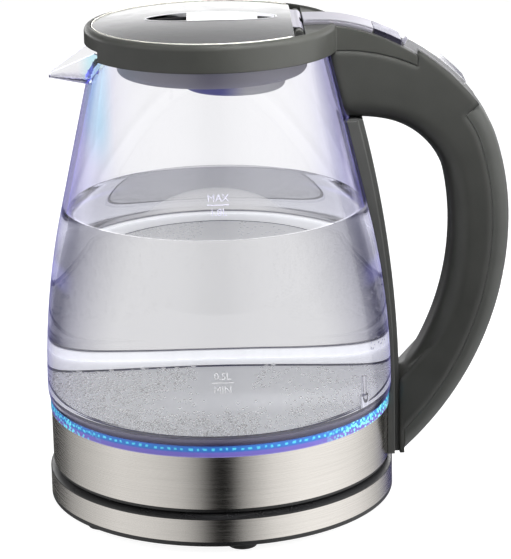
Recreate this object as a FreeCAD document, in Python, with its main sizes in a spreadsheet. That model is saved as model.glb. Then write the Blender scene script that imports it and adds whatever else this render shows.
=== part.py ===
import FreeCAD, Part
import math
import os

import Sketcher

# Cordless glass kettle on a round power base, in millimetres.
# Origin on the floor at the base's axis, +Z up, spout towards -X, handle towards +X.

doc = FreeCAD.newDocument("kettle")
sheet = doc.addObject("Spreadsheet::Sheet", "sizes")
nodes = []


class Size:
    """A number together with the sheet expression that gives it."""

    def __init__(self, value, text):
        self.value = value
        self.text = text

    def __add__(self, other):
        other = as_size(other)
        return Size(self.value + other.value, f"({self.text} + {other.text})")

    def __sub__(self, other):
        other = as_size(other)
        return Size(self.value - other.value, f"({self.text} - {other.text})")

    def __mul__(self, other):
        other = as_size(other)
        return Size(self.value * other.value, f"({self.text} * {other.text})")

    def __truediv__(self, other):
        other = as_size(other)
        return Size(self.value / other.value, f"({self.text} / {other.text})")

    def __neg__(self):
        return Size(-self.value, f"(0 - {self.text})")

    def __radd__(self, other):
        return as_size(other) + self

    def __rsub__(self, other):
        return as_size(other) - self

    def __rmul__(self, other):
        return as_size(other) * self


def as_size(number):
    if isinstance(number, Size):
        return number
    if number < 0:
        return Size(number, f"(0 - {-number})")
    return Size(number, str(number))


def root(square):
    return Size(math.sqrt(square.value), f"sqrt({square.text})")


def cosine(degrees):
    return Size(math.cos(math.radians(degrees.value)), f"cos({degrees.text})")


def sine(degrees):
    return Size(math.sin(math.radians(degrees.value)), f"sin({degrees.text})")


def tangent(degrees):
    return sine(degrees) / cosine(degrees)


def size(alias, value):
    """One driving dimension: a named cell of the sheet."""
    size.row += 1
    sheet.set(f"A{size.row}", alias)
    sheet.set(f"B{size.row}", str(value))
    sheet.setAlias(f"B{size.row}", alias)
    return Size(value, f"sizes.{alias}")


def follows(alias, value):
    """A size that follows from others: a named cell that holds their formula."""
    size.row += 1
    sheet.set(f"A{size.row}", alias)
    sheet.set(f"B{size.row}", "=" + value.text.replace("sizes.", ""))
    sheet.setAlias(f"B{size.row}", alias)
    return Size(value.value, f"sizes.{alias}")


size.row = 0

# Fits
seat_gap = size("seat_gap", 0.3)
fit_gap = size("fit_gap", 0.05)
part_gap = size("part_gap", 0.1)

# Main width, which the base, the jug and the handle follow
skirt_radius = size("skirt_radius", 80.0)

# Power base
base_lip = size("base_lip", 1.5)
base_radius = follows("base_radius", skirt_radius + base_lip)
foot_height = size("foot_height", 4.0)
foot_radius = size("foot_radius", 6.5)
foot_inset = size("foot_inset", 11.5)
foot_circle = base_radius - foot_inset
foot_stem = size("foot_stem", 3.0)
foot_first_angle = size("foot_first_angle", 37.0)
base_edge = size("base_edge", 2.0)
base_band_height = size("base_band_height", 10.6)
base_deck_rise = size("base_deck_rise", 2.4)
base_slope = size("base_slope", 3.0)
base_wall = size("base_wall", 2.2)
sheet_metal = size("sheet_metal", 0.8)
bottom_plate = size("bottom_plate", 2.0)
tower_radius = size("tower_radius", 16.8)
tower_flange = size("tower_flange", 3.0)
tower_rise = size("tower_rise", 8.0)
tower_depth = size("tower_depth", 10.0)
contact_inner = size("contact_inner", 6.0)
contact_outer = size("contact_outer", 11.8)
contact_slot = size("contact_slot", 1.5)
contact_wall = size("contact_wall", 0.6)
contact_floor_gap = size("contact_floor_gap", 1.0)
pin_bore = size("pin_bore", 2.4)
cord_bore = size("cord_bore", 3.5)
inlet_wall = size("inlet_wall", 1.6)
inlet_length = size("inlet_length", 9.0)
screw_shank = size("screw_shank", 1.5)
screw_head = size("screw_head", 3.0)
screw_head_height = size("screw_head_height", 1.6)
base_screw_inset = size("base_screw_inset", 29.5)
base_screw_circle = base_radius - base_screw_inset
base_screw_length = size("base_screw_length", 9.0)

# Jug
skirt_height = size("skirt_height", 24.9)
cover_edge = size("cover_edge", 1.9)
cover_floor = size("cover_floor", 2.4)
cover_rim = size("cover_rim", 6.0)
bottom_screw_inset = size("bottom_screw_inset", 14.0)
bottom_screw_circle = skirt_radius - bottom_screw_inset
bottom_screw_length = size("bottom_screw_length", 10.0)
ring_height = size("ring_height", 5.4)
ring_wall = size("ring_wall", 2.4)
ring_shelf = size("ring_shelf", 1.5)
ring_shelf_width = size("ring_shelf_width", 5.0)
shelf_drop = size("shelf_drop", 2.0)
glass_height = size("glass_height", 166.5)
glass_wall = size("glass_wall", 2.5)
belly_bulge = size("belly_bulge", 1.3)
belly_radius = follows("belly_radius", skirt_radius + belly_bulge)
belly_arc = size("belly_arc", 365.0)
cone_angle = size("cone_angle", 13.0)
toe_in = size("toe_in", 0.9)
toe_height = size("toe_height", 6.0)
plate_sheet = size("plate_sheet", 1.2)
plate_rim = size("plate_rim", 5.0)
seal_width = size("seal_width", 2.4)
seal_radius = belly_radius - toe_in - glass_wall - part_gap
plate_radius = follows("plate_radius", seal_radius - seal_width - fit_gap)
diffuser_inset = size("diffuser_inset", 13.35)
diffuser_radius = plate_radius - diffuser_inset
diffuser_height = size("diffuser_height", 2.5)
element_inset = size("element_inset", 12.0)
element_circle = diffuser_radius - element_inset
element_tube = size("element_tube", 3.6)
board_height = size("board_height", 1.6)
board_width = size("board_width", 12.0)
led_edge = size("led_edge", 3.0)
led_height = size("led_height", 1.4)
socket_wall = size("socket_wall", 2.0)
socket_flange = size("socket_flange", 3.0)
socket_height = size("socket_height", 14.0)
control_length = size("control_length", 46.0)
control_width = size("control_width", 34.0)
control_height = size("control_height", 8.0)
disc_radius = size("disc_radius", 7.0)
disc_sheet = size("disc_sheet", 0.6)
probe_inset = size("probe_inset", 7.37)
probe_angle = size("probe_angle", 27.13)
probe_height = size("probe_height", 16.5)
probe_radius = size("probe_radius", 2.6)

# Spout
spout_length = size("spout_length", 20.65)
spout_inset = size("spout_inset", 9.85)
spout_side_inset = size("spout_side_inset", 2.04)
spout_root_height = size("spout_root_height", 20.0)
spout_tip_radius = size("spout_tip_radius", 2.8)
spout_tip_lip = size("spout_tip_lip", 0.6)
spout_wall = size("spout_wall", 2.0)
spout_drop = size("spout_drop", 12.6)
spout_notch_inset = size("spout_notch_inset", 1.5)
spout_notch_height = size("spout_notch_height", 4.8)

# Collar and lid
collar_wall = size("collar_wall", 3.05)
collar_overlap = size("collar_overlap", 3.0)
collar_height = size("collar_height", 12.4)
collar_round = size("collar_round", 2.6)
collar_edge = size("collar_edge", 3.4)
rim_seal = size("rim_seal", 1.0)
lid_gap = size("lid_gap", 0.6)
lid_ledge = size("lid_ledge", 6.5)
lid_depth = size("lid_depth", 3.0)
lid_crown = size("lid_crown", 2.8)
lid_sheet = size("lid_sheet", 1.2)
lid_back = size("lid_back", 18.0)
trim_width = size("trim_width", 0.5)
trim_back = size("trim_back", 1.0)
plug_room = size("plug_room", 4.5)
plug_depth = size("plug_depth", 20.1)
plug_wall = size("plug_wall", 2.2)
plug_round = size("plug_round", 3.0)
plug_back_depth = size("plug_back_depth", 9.9)
baffle_radius = size("baffle_radius", 23.5)
baffle_inset = size("baffle_inset", 3.0)
baffle_depth = size("baffle_depth", 7.6)
lid_seal_height = size("lid_seal_height", 1.8)
lid_seal_drop = size("lid_seal_drop", 1.0)
lid_seal_gap = size("lid_seal_gap", 0.4)
recess_margin = size("recess_margin", 6.3)
recess_width = size("recess_width", 22.4)
recess_depth = size("recess_depth", 10.4)
recess_wall = size("recess_wall", 1.2)
bezel_height = size("bezel_height", 2.0)
bezel_width = size("bezel_width", 0.8)
grip_front = size("grip_front", 25.5)
grip_back = size("grip_back", 15.5)
grip_thickness = size("grip_thickness", 3.4)
hinge_radius = size("hinge_radius", 1.5)
hinge_drop = size("hinge_drop", 1.9)
knuckle_radius = size("knuckle_radius", 2.5)
knuckle_inner = size("knuckle_inner", 6.0)
knuckle_outer = size("knuckle_outer", 21.5)
lug_width = size("lug_width", 5.0)
deck_gap = size("deck_gap", 5.3)
deck_sink = size("deck_sink", 0.4)

# Handle
handle_width = size("handle_width", 28.0)
tongue_back = size("tongue_back", 11.94)
tongue_rise = size("tongue_rise", 1.53)
tongue_arc = size("tongue_arc", 70.0)
tongue_angle = size("tongue_angle", 69.2)
tongue_sheet = size("tongue_sheet", 2.2)
tongue_width = size("tongue_width", 22.0)
tongue_round = size("tongue_round", 1.4)
top_arc = size("top_arc", 109.1)
top_angle = size("top_angle", 37.5)
shoulder_arc = size("shoulder_arc", 53.3)
shoulder_angle = size("shoulder_angle", 17.7)
back_arc = size("back_arc", 126.8)
rear_cover = size("rear_cover", 8.0)
grip_depth = size("grip_depth", 27.1)
loop_drop = size("loop_drop", 32.05)
loop_top_arc = size("loop_top_arc", 60.7)
loop_top_angle = size("loop_top_angle", 77.2)
loop_corner_arc = size("loop_corner_arc", 35.7)
loop_corner_angle = size("loop_corner_angle", 11.0)
loop_back_arc = size("loop_back_arc", 120.2)
loop_rise = size("loop_rise", 10.0)
loop_gap = size("loop_gap", 3.6)
loop_step = size("loop_step", 4.0)
handle_foot_step = size("handle_foot_step", 1.4)
handle_foot_rise = size("handle_foot_rise", 0.4)
spine_depth = size("spine_depth", 3.1)
spine_top_depth = size("spine_top_depth", 6.2)
spine_drop = size("spine_drop", 1.5)
spine_core = size("spine_core", 12.0)
spine_width = size("spine_width", 30.0)
spine_rib = size("spine_rib", 22.0)
spine_flange = size("spine_flange", 2.4)
spine_screw_pitch = size("spine_screw_pitch", 9.0)
spine_screw_cover = size("spine_screw_cover", 1.0)
hood_length = size("hood_length", 35.0)
hood_arc = size("hood_arc", 81.0)
grip_round = size("grip_round", 9.0)
cover_round = size("cover_round", 6.0)

# Lid release and power switch
button_length = size("button_length", 12.4)
button_width = size("button_width", 19.0)
button_sheet = size("button_sheet", 2.4)
button_travel = size("button_travel", 1.6)
button_stem = size("button_stem", 3.0)
lever_width = size("lever_width", 8.0)
lever_sheet = size("lever_sheet", 2.0)
lever_inset = size("lever_inset", 4.0)
lever_tail = size("lever_tail", 2.2)
lever_crank = size("lever_crank", 4.0)
lever_crank_run = size("lever_crank_run", 8.0)
lever_crank_lead = size("lever_crank_lead", 1.0)
lever_bite = size("lever_bite", 1.0)
lever_room = size("lever_room", 2.9)
lever_eye_wall = size("lever_eye_wall", 0.9)
switch_start_angle = size("switch_start_angle", 60.7)
switch_end_angle = size("switch_end_angle", 43.2)
switch_proud = size("switch_proud", 2.0)
switch_depth = size("switch_depth", 4.0)
switch_room = size("switch_room", 2.3)
switch_width = size("switch_width", 19.0)
switch_pin_radius = size("switch_pin_radius", 1.2)
switch_pin_depth = size("switch_pin_depth", 2.0)
switch_pin_hold = size("switch_pin_hold", 2.0)

# Levels, from the floor up
level_plate = foot_height
level_band = level_plate + base_edge
level_band_top = level_band + base_band_height
level_deck = follows("level_deck", level_band_top + base_deck_rise)
level_jug = level_deck + seat_gap
level_skirt = level_jug + cover_edge
level_skirt_top = follows("level_skirt_top", level_skirt + skirt_height)
level_glass = follows("level_glass", level_skirt_top + ring_height)
level_shelf = level_glass - shelf_drop
level_belly = level_glass + toe_height
level_rim = follows("level_rim", level_glass + glass_height)
level_collar = follows("level_collar", level_rim - collar_overlap)
level_collar_top = follows("level_collar_top", level_collar + collar_height)
level_seat = level_collar_top - lid_depth
level_lid = level_seat + seat_gap
level_dome_edge = level_collar_top - seat_gap
level_dome = level_dome_edge + lid_crown
level_lever = level_rim + rim_seal + 2 * seat_gap
spine_screw_level = level_jug + cover_floor + cover_rim + screw_head + 2 * seat_gap


def arc(radius, turn):
    """The side of an outline that ends at a corner is an arc: turn is 1 for left, -1 for right."""
    return (radius, turn)


def around(radius, angle):
    return radius * cosine(angle), radius * sine(angle)


def moved(centre, radius, angle):
    x, z = around(radius, angle)
    return centre[0] + x, centre[1] + z


def bow(run, rise):
    """Radius of the arc that leaves one point upright and reaches another point at a run and a rise."""
    return (run * run + rise * rise) / (2 * run)


def glass_edge(offset, top):
    """The jug's outside from its foot up to a level, moved out by an offset."""
    centre = belly_radius - belly_arc
    arc_radius = belly_arc + offset
    toe_arc = bow(toe_in, toe_height) + offset
    cone_x = centre + arc_radius * cosine(cone_angle)
    cone_z = level_belly + arc_radius * sine(cone_angle)
    return [
        (belly_radius - toe_in + offset, level_glass),
        (belly_radius + offset, level_belly, arc(toe_arc, 1)),
        (cone_x, cone_z, arc(arc_radius, 1)),
        (cone_x - (as_size(top) - cone_z) * tangent(cone_angle), top),
    ]


def glass_radius(level, offset=0):
    return glass_edge(as_size(offset), level)[-1][0]


# Widths at the jug's rim
rim_radius = follows("rim_radius", glass_radius(level_rim))
spout_reach = rim_radius + spout_length
spout_root = follows("spout_root", rim_radius - spout_inset)
spout_chord = root(rim_radius * rim_radius - spout_root * spout_root)
spout_root_width = follows("spout_root_width", spout_chord - spout_side_inset)
spout_notch_width = 2 * (spout_root_width - spout_notch_inset)
collar_seat = follows("collar_seat", glass_radius(level_collar, seat_gap))
collar_radius = follows("collar_radius", collar_seat + collar_wall)
lid_radius = follows("lid_radius", collar_radius - collar_edge)
lid_way = lid_radius + lid_gap
collar_bore = lid_radius - lid_ledge
plug_radius = collar_bore - plug_room
lid_chord = follows("lid_chord", lid_radius - lid_back)
recess_length = 2 * (lid_chord - recess_margin)
grip_start = grip_front - lid_chord
grip_end = lid_chord - grip_back
baffle_offset = lid_chord - baffle_inset - baffle_radius
tongue_start = lid_chord + deck_gap
hood_start = follows("hood_start", collar_radius + part_gap)
hood_end = hood_start + hood_length
lever_pivot_x = hood_start + lever_inset


def handle_curve():
    """The handle's outside from the lid's back: the centre of each arc, each tangent to the next."""
    tongue = (lid_chord + tongue_back, level_collar_top + tongue_rise - tongue_arc)
    top = moved(tongue, tongue_arc - top_arc, tongue_angle)
    shoulder = moved(top, top_arc - shoulder_arc, top_angle)
    back = moved(shoulder, shoulder_arc - back_arc, shoulder_angle)
    centres = {"tongue": tongue, "top": top, "shoulder": shoulder, "back": back}
    return {name: (follows(f"{name}_x", x), follows(f"{name}_z", z)) for name, (x, z) in centres.items()}


CURVE = handle_curve()

# Handle's reach, its loop and its foot
handle_reach = follows("handle_reach", CURVE["back"][0] + back_arc)
handle_middle = CURVE["back"][1]
loop_reach = handle_reach - grip_depth
loop_top = follows("loop_top", level_collar - loop_drop)
loop_fall = (loop_corner_arc - loop_top_arc) * sine(loop_top_angle)
loop_sink = (loop_back_arc - loop_corner_arc) * sine(loop_corner_angle)
loop_middle = follows("loop_middle", loop_top - loop_top_arc - loop_fall - loop_sink)
loop_bottom = level_glass + loop_rise
spine_reach = belly_radius + spine_depth
loop_low_x = spine_reach + loop_gap
loop_lower_arc = follows("loop_lower_arc", bow(loop_reach - loop_low_x, loop_middle - loop_bottom))
cover_x = follows("cover_x", loop_low_x - handle_foot_step)
handle_foot = level_skirt + handle_foot_rise
lower_arc = follows("lower_arc", bow(handle_reach - cover_x, handle_middle - handle_foot))
CURVE["lower"] = (handle_reach - lower_arc, handle_middle)
spine_middle = level_glass - spine_drop
spine_top = follows("spine_top", loop_top - seat_gap)
spine_top_x = follows("spine_top_x", glass_radius(spine_top) + spine_top_depth)
spine_arc = follows("spine_arc", bow(spine_reach - spine_top_x, spine_top - spine_middle))
button_from = follows("button_from", CURVE["top"][0] + top_arc * cosine(tongue_angle) + seat_gap)
button_to = button_from + button_length
button_middle = button_from + button_length / 2
lever_end = button_middle + lever_tail


def bind(thing, values):
    """Ties properties of an object to sizes."""
    for path, value in values.items():
        thing.setExpression(path, as_size(value).text)


def arc_centre(start, end, radius, turn):
    dx, dy = end[0] - start[0], end[1] - start[1]
    half = math.hypot(dx, dy) / 2
    rise = math.sqrt(max(radius * radius - half * half, 0.0))
    middle = ((start[0] + end[0]) / 2, (start[1] + end[1]) / 2)
    return (middle[0] - turn * rise * dy / (2 * half), middle[1] + turn * rise * dx / (2 * half))


def draw(sketch, corners):
    """Draws a closed outline; each corner is (x, y) or (x, y, arc), the arc leading to that corner."""
    points = [(as_size(c[0]), as_size(c[1])) for c in corners]
    count = len(points)
    first = sketch.GeometryCount
    for index in range(count):
        start, end = points[index], points[(index + 1) % count]
        a = (start[0].value, start[1].value)
        b = (end[0].value, end[1].value)
        corner = corners[(index + 1) % count]
        if len(corner) == 3:
            radius, turn = corner[2]
            centre = arc_centre(a, b, radius.value, turn)
            angles = [math.atan2(p[1] - centre[1], p[0] - centre[0]) for p in (a, b)]
            if turn < 0:
                angles.reverse()
            circle = Part.Circle(FreeCAD.Vector(*centre, 0), FreeCAD.Vector(0, 0, 1), radius.value)
            sketch.addGeometry(Part.ArcOfCircle(circle, *angles), False)
        else:
            sketch.addGeometry(Part.LineSegment(FreeCAD.Vector(*a, 0), FreeCAD.Vector(*b, 0)), False)

    def ends(index):
        corner = corners[(index + 1) % count]
        return (2, 1) if len(corner) == 3 and corner[2][1] < 0 else (1, 2)

    for index in range(count):
        following = (index + 1) % count
        geometry, start = first + index, ends(index)[0]
        sketch.addConstraint(Sketcher.Constraint(
            "Coincident", geometry, ends(index)[1], first + following, ends(following)[0]))
        for kind, value in zip(("DistanceX", "DistanceY"), points[index]):
            datum = Sketcher.Constraint(kind, -1, 1, geometry, start, value.value)
            bind(sketch, {f"Constraints[{sketch.addConstraint(datum)}]": value})
        corner = corners[following]
        if len(corner) == 3:
            datum = Sketcher.Constraint("Radius", geometry, corner[2][0].value)
            bind(sketch, {f"Constraints[{sketch.addConstraint(datum)}]": corner[2][0]})


def body_sketch(name, corners, plane="XZ_Plane"):
    body = doc.addObject("PartDesign::Body", name)
    sketch = body.newObject("Sketcher::SketchObject", f"{name}_outline")
    support = [f for f in body.Origin.OriginFeatures if f.Role == plane][0]
    sketch.AttachmentSupport = (support, [""])
    sketch.MapMode = "FlatFace"
    draw(sketch, corners)
    return body, sketch


def turned(name, corners):
    """A body of revolution about Z from an outline of (radius, height) corners."""
    body, sketch = body_sketch(name, corners)
    revolution = body.newObject("PartDesign::Revolution", f"{name}_turn")
    revolution.Profile = sketch
    revolution.ReferenceAxis = (sketch, ["V_Axis"])
    revolution.Angle = 360
    return body


def padded(name, corners, width):
    """A body of constant width across Y, from an outline of (x, z) corners."""
    body, sketch = body_sketch(name, corners)
    pad = body.newObject("PartDesign::Pad", f"{name}_pad")
    pad.Profile = sketch
    pad.SideType = "Symmetric"
    bind(pad, {"Length": width})
    return body


def rounded(body, radius, chosen):
    """Rounds the edges of a body that the chosen test picks."""
    doc.recompute()
    tip = body.Tip
    edges = [f"Edge{i + 1}" for i, edge in enumerate(tip.Shape.Edges) if chosen(edge)]
    fillet = body.newObject("PartDesign::Fillet", f"{body.Name}_round")
    fillet.Base = (tip, edges)
    bind(fillet, {"Radius": radius})
    return body


def place(thing, x=0, y=0, z=0):
    bind(thing, {"Placement.Base.x": x, "Placement.Base.y": y, "Placement.Base.z": z})
    return thing


def rod(name, radius, length, x=0, y=0, z=0, along="z"):
    """A cylinder that starts at a point and runs along +X, +Y or +Z."""
    thing = doc.addObject("Part::Cylinder", name)
    bind(thing, {"Radius": radius, "Height": length})
    turns = {"x": ((0, 1, 0), 90), "y": ((1, 0, 0), -90), "z": ((0, 0, 1), 0)}
    axis, angle = turns[along]
    thing.Placement.Rotation = FreeCAD.Rotation(FreeCAD.Vector(*axis), angle)
    return place(thing, x, y, z)


def block(name, low, high):
    """A box from its lowest to its highest corner."""
    thing = doc.addObject("Part::Box", name)
    lengths = [as_size(b) - as_size(a) for a, b in zip(low, high)]
    bind(thing, dict(zip(("Length", "Width", "Height"), lengths)))
    return place(thing, *low)


def oval(name, length, width, low, high):
    """An upright elliptical post about the Z axis, its long way along X."""
    rim = doc.addObject("Part::Ellipse", f"{name}_rim")
    bind(rim, {"MajorRadius": length / 2, "MinorRadius": width / 2})
    place(rim, z=low)
    thing = doc.addObject("Part::Extrusion", name)
    thing.Base = rim
    thing.DirMode = "Custom"
    thing.Dir = FreeCAD.Vector(0, 0, 1)
    thing.Solid = True
    bind(thing, {"LengthFwd": as_size(high) - as_size(low)})
    return thing


def copies(name, make, count):
    """A group of alike solids, spread by the make function."""
    group = doc.addObject("Part::Compound", name)
    group.Links = [make(f"{name}_{index + 1}", index) for index in range(count)]
    return group


def cut(name, base, *tools):
    for index, tool in enumerate(tools):
        step = doc.addObject("Part::Cut", name if index == len(tools) - 1 else f"{name}_cut{index + 1}")
        step.Base, step.Tool = base, tool
        base = step
    return base


def fuse(name, *things):
    joined = doc.addObject("Part::MultiFuse", name)
    joined.Shapes = list(things)
    joined.Refine = True
    return joined


def common(name, base, tool):
    shared = doc.addObject("Part::Common", name)
    shared.Base, shared.Tool = base, tool
    return shared


def node(label, thing):
    """Names a finished sub-part."""
    thing.Label = label
    nodes.append(thing)
    return thing


def feet():
    """Six feet on a circle and one in the middle, and the holes for their stems."""
    ring = 6

    def spot(index):
        if index == ring:
            return as_size(0), as_size(0)
        return around(foot_circle, foot_first_angle + 360 / ring * index)

    def foot(name, index):
        x, y = spot(index)
        pad = rod(f"{name}_pad", foot_radius, foot_height, x, y)
        stem = rod(f"{name}_stem", foot_stem, foot_height + bottom_plate, x, y)
        return fuse(name, pad, stem)

    def hole(name, index):
        x, y = spot(index)
        return rod(name, foot_stem + fit_gap, bottom_plate, x, y, level_plate)

    return copies("base_feet", foot, ring + 1), copies("foot_holes", hole, ring + 1)


def screws(name, count, circle, head_level, length, first_angle):
    """Screws that stand up from a level on a circle, and the holes that they need."""
    def spot(index):
        return around(circle, as_size(first_angle + 360 / count * index))

    def screw(label, index):
        x, y = spot(index)
        head = rod(f"{label}_head", screw_head, screw_head_height, x, y, head_level)
        shank = rod(f"{label}_shank", screw_shank, length, x, y, head_level)
        return fuse(label, head, shank)

    def hole(label, index):
        x, y = spot(index)
        head = rod(f"{label}_head", screw_head + part_gap, screw_head_height, x, y, head_level)
        shank = rod(f"{label}_shank", screw_shank + fit_gap, length, x, y, head_level)
        return fuse(label, head, shank)

    return copies(name, screw, count), copies(f"{name}_holes", hole, count)


def power_base():
    band_inner = base_radius - sheet_metal
    tray_wall = band_inner - part_gap
    deck_edge = base_radius - base_slope
    deck_under = level_deck - base_wall
    tower_hole = tower_radius + part_gap
    foot_group, foot_holes = feet()
    screw_group, screw_holes = screws(
        "base_screws", 3, base_screw_circle, level_plate, base_screw_length, 90)

    inlet_level = level_plate + cord_bore + inlet_wall + part_gap
    inlet_radius = cord_bore + inlet_wall
    inlet_from = base_radius - inlet_length
    notch_way = rod("inlet_way", inlet_radius + fit_gap, inlet_length * 2, 0, inlet_from - inlet_length / 2,
                    inlet_level, "y")

    shell = turned("tray_shell", [
        (tower_hole, level_deck), (tower_hole, deck_under), (tray_wall - base_wall, deck_under),
        (tray_wall - base_wall, level_plate), (base_radius, level_plate), (base_radius, level_band),
        (tray_wall, level_band), (tray_wall, level_band_top), (base_radius, level_band_top),
        (deck_edge, level_deck, arc(base_slope * 2, 1)),
    ])
    bosses = copies("tray_bosses", lambda name, index: rod(
        name, screw_head, deck_under - level_plate - bottom_plate + part_gap,
        *around(base_screw_circle, as_size(90 + 120 * index)), level_plate + bottom_plate), 3)
    tray = fuse("tray_moulding", shell, bosses)
    node("base_tray", cut("base_tray", tray, screw_holes, notch_way))

    band = turned("band_ring", [
        (band_inner, level_band), (base_radius, level_band),
        (base_radius, level_band_top), (band_inner, level_band_top),
    ])
    node("base_steel_ring", cut("base_steel_ring", band, notch_way))

    plate = rod("bottom_disc", tray_wall - base_wall - part_gap, bottom_plate, z=level_plate)
    node("base_bottom", cut("base_bottom", plate, foot_holes, screw_holes, notch_way))
    node("base_feet", foot_group)
    node("base_screws", screw_group)

    bush = rod("inlet_bush", inlet_radius, inlet_length, 0, inlet_from, inlet_level, "y")
    cord_way = rod("cord_way", cord_bore, inlet_length * 2, 0, inlet_from - inlet_length / 2, inlet_level, "y")
    rim = turned("inlet_rim", [
        (0, level_plate), (base_radius, level_plate), (base_radius, level_deck), (0, level_deck)])
    node("cord_inlet", cut("cord_inlet", common("inlet_trim", bush, rim), cord_way))

    tower_top = level_deck + tower_rise
    slot_floor = tower_top - tower_depth
    post = level_plate + bottom_plate

    def slot(middle):
        return [(middle + contact_slot, tower_top), (middle + contact_slot, slot_floor),
                (middle - contact_slot, slot_floor), (middle - contact_slot, tower_top)]

    flange = tower_radius + tower_flange
    node("base_connector", turned("base_connector", [
        (0, post), (flange, post), (flange, post + base_wall), (tower_radius, post + base_wall),
        (tower_radius, tower_top), *slot(contact_outer), *slot(contact_inner),
        (pin_bore, tower_top), (pin_bore, slot_floor), (0, slot_floor),
    ]))

    def contact(name, index):
        outer = ((contact_outer, contact_inner)[index] if index < 2 else pin_bore - contact_slot) + contact_slot
        return turned(name, [
            (outer - contact_wall, slot_floor), (outer, slot_floor),
            (outer, slot_floor + tower_depth / 2), (outer - contact_wall, slot_floor + tower_depth / 2)])

    node("base_contacts", copies("base_contacts", contact, 3))


def coupler():
    """The socket under the jug: it drops over the base's tower, and its rings reach into the tower's slots."""
    tower_top = level_deck + tower_rise
    ceiling = tower_top + seat_gap
    inside = tower_radius + 2 * seat_gap
    outside = inside + socket_wall
    reach = tower_top - tower_depth + contact_floor_gap
    ring_half = contact_slot - contact_wall - 2 * seat_gap

    def ring(middle):
        inner, outer = middle - contact_slot + seat_gap, middle - contact_slot + seat_gap + ring_half * 2
        return [(inner, ceiling), (inner, reach), (outer, reach), (outer, ceiling)]

    pin = pin_bore - contact_wall - 2 * seat_gap
    top = level_jug + socket_height
    flange = outside + socket_flange
    node("coupler_socket", turned("coupler_socket", [
        (0, reach), (pin, reach), (pin, ceiling), *ring(contact_inner), *ring(contact_outer),
        (inside, ceiling), (inside, level_jug), (outside, level_jug), (outside, top - base_wall),
        (flange, top - base_wall), (flange, top), (0, top),
    ]))
    return outside, flange, top


def jug_bottom(socket_radius, flange_radius, socket_top):
    skirt_inner = skirt_radius - sheet_metal
    cover_radius = skirt_radius - sheet_metal
    rim_outer = skirt_inner - part_gap
    floor = level_jug + cover_floor
    boss_inner = socket_radius + seat_gap
    boss_outer = boss_inner + cover_floor
    boss_top = socket_top - base_wall - seat_gap
    post_top = level_skirt_top - board_height
    screw_group, screw_holes = screws(
        "bottom_screws", 3, bottom_screw_circle, level_jug, bottom_screw_length, 45)
    shell = turned("cover_shell", [
        (boss_inner, level_jug), (cover_radius, level_jug), (cover_radius, level_skirt),
        (rim_outer, level_skirt), (rim_outer, floor + cover_rim), (rim_outer - cover_floor, floor + cover_rim),
        (rim_outer - cover_floor, floor), (boss_outer, floor), (boss_outer, boss_top), (boss_inner, boss_top),
    ])
    posts = copies("cover_posts", lambda name, index: rod(
        name, screw_head, post_top - level_jug,
        *around(bottom_screw_circle, as_size(45 + 120 * index)), level_jug), 3)
    cover = fuse("cover_moulding", shell, posts)
    node("jug_bottom_cover", cut("jug_bottom_cover", cover, screw_holes))
    node("bottom_screws", screw_group)

    node_skirt = turned("skirt_band", [
        (skirt_inner, level_skirt), (skirt_radius, level_skirt),
        (skirt_radius, level_skirt_top), (skirt_inner, level_skirt_top)])

    ring_outer = belly_radius - toe_in - part_gap
    ring_inner = ring_outer - ring_wall
    shelf_inner = plate_radius - ring_shelf_width
    node("light_ring", turned("light_ring", [
        (ring_inner, level_skirt_top), (ring_outer, level_skirt_top), (ring_outer, level_glass),
        (ring_inner, level_glass), (ring_inner, level_shelf), (shelf_inner, level_shelf),
        (shelf_inner, level_shelf - ring_shelf), (ring_inner, level_shelf - ring_shelf),
    ]))
    rim_level, rim_inner = level_shelf + plate_rim, plate_radius - plate_sheet
    node("heating_plate", turned("heating_plate", [
        (0, level_shelf), (plate_radius, level_shelf), (plate_radius, rim_level),
        (rim_inner, rim_level), (rim_inner, level_shelf + plate_sheet), (0, level_shelf + plate_sheet)]))
    seal_outer, seal_inner = seal_radius - part_gap, seal_radius - seal_width
    node("glass_seal", turned("glass_seal", [
        (seal_inner, level_shelf), (seal_outer, level_shelf), (seal_outer, rim_level), (seal_inner, rim_level)]))
    node("heat_diffuser", rod("heat_diffuser", diffuser_radius, diffuser_height, z=level_shelf - diffuser_height))

    element_level = level_shelf - diffuser_height - element_tube - part_gap
    element = doc.addObject("Part::Torus", "heating_element")
    bind(element, {"Radius1": element_circle, "Radius2": element_tube, "Angle3": 310})
    place(element, z=element_level)
    element.Placement.Rotation = FreeCAD.Rotation(FreeCAD.Vector(0, 0, 1), 115)
    node("heating_element", element)

    board_outer = skirt_inner - part_gap
    board_ring = turned("board_ring", [
        (board_outer - board_width, level_skirt_top - board_height), (board_outer, level_skirt_top - board_height),
        (board_outer, level_skirt_top), (board_outer - board_width, level_skirt_top)])
    node("led_board", board_ring)

    def led(name, index):
        x, y = around(board_outer - board_width / 2, as_size(30 + 60 * index))
        return block(name, (x - led_edge / 2, y - led_edge / 2, level_skirt_top),
                     (x + led_edge / 2, y + led_edge / 2, level_skirt_top + led_height))

    node("leds", copies("leds", led, 6))

    control_top = level_shelf - diffuser_height - disc_sheet
    node("thermostat", block(
        "thermostat", (-(control_length / 2), -(control_width / 2), control_top - control_height),
        (control_length / 2, control_width / 2, control_top)))
    node("bimetal_discs", copies("bimetal_discs", lambda name, index: rod(
        name, disc_radius, disc_sheet, (control_length / 4) * (1 - 2 * index), 0, control_top), 2))

    foot_level = level_shelf + plate_sheet
    probe = turned("sensor_probe", [
        (0, foot_level), (probe_radius * 1.4, foot_level), (probe_radius * 1.4, foot_level + plate_sheet),
        (probe_radius, foot_level + plate_sheet), (probe_radius, foot_level + probe_height * 0.45),
        (probe_radius * 0.6, foot_level + probe_height * 0.5), (probe_radius * 0.6, foot_level + probe_height),
        (0, foot_level + probe_height)])
    probe_x, probe_y = around(plate_radius - probe_inset, -probe_angle)
    node("sensor_probe", place(probe, probe_x, probe_y))
    return node_skirt


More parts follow.
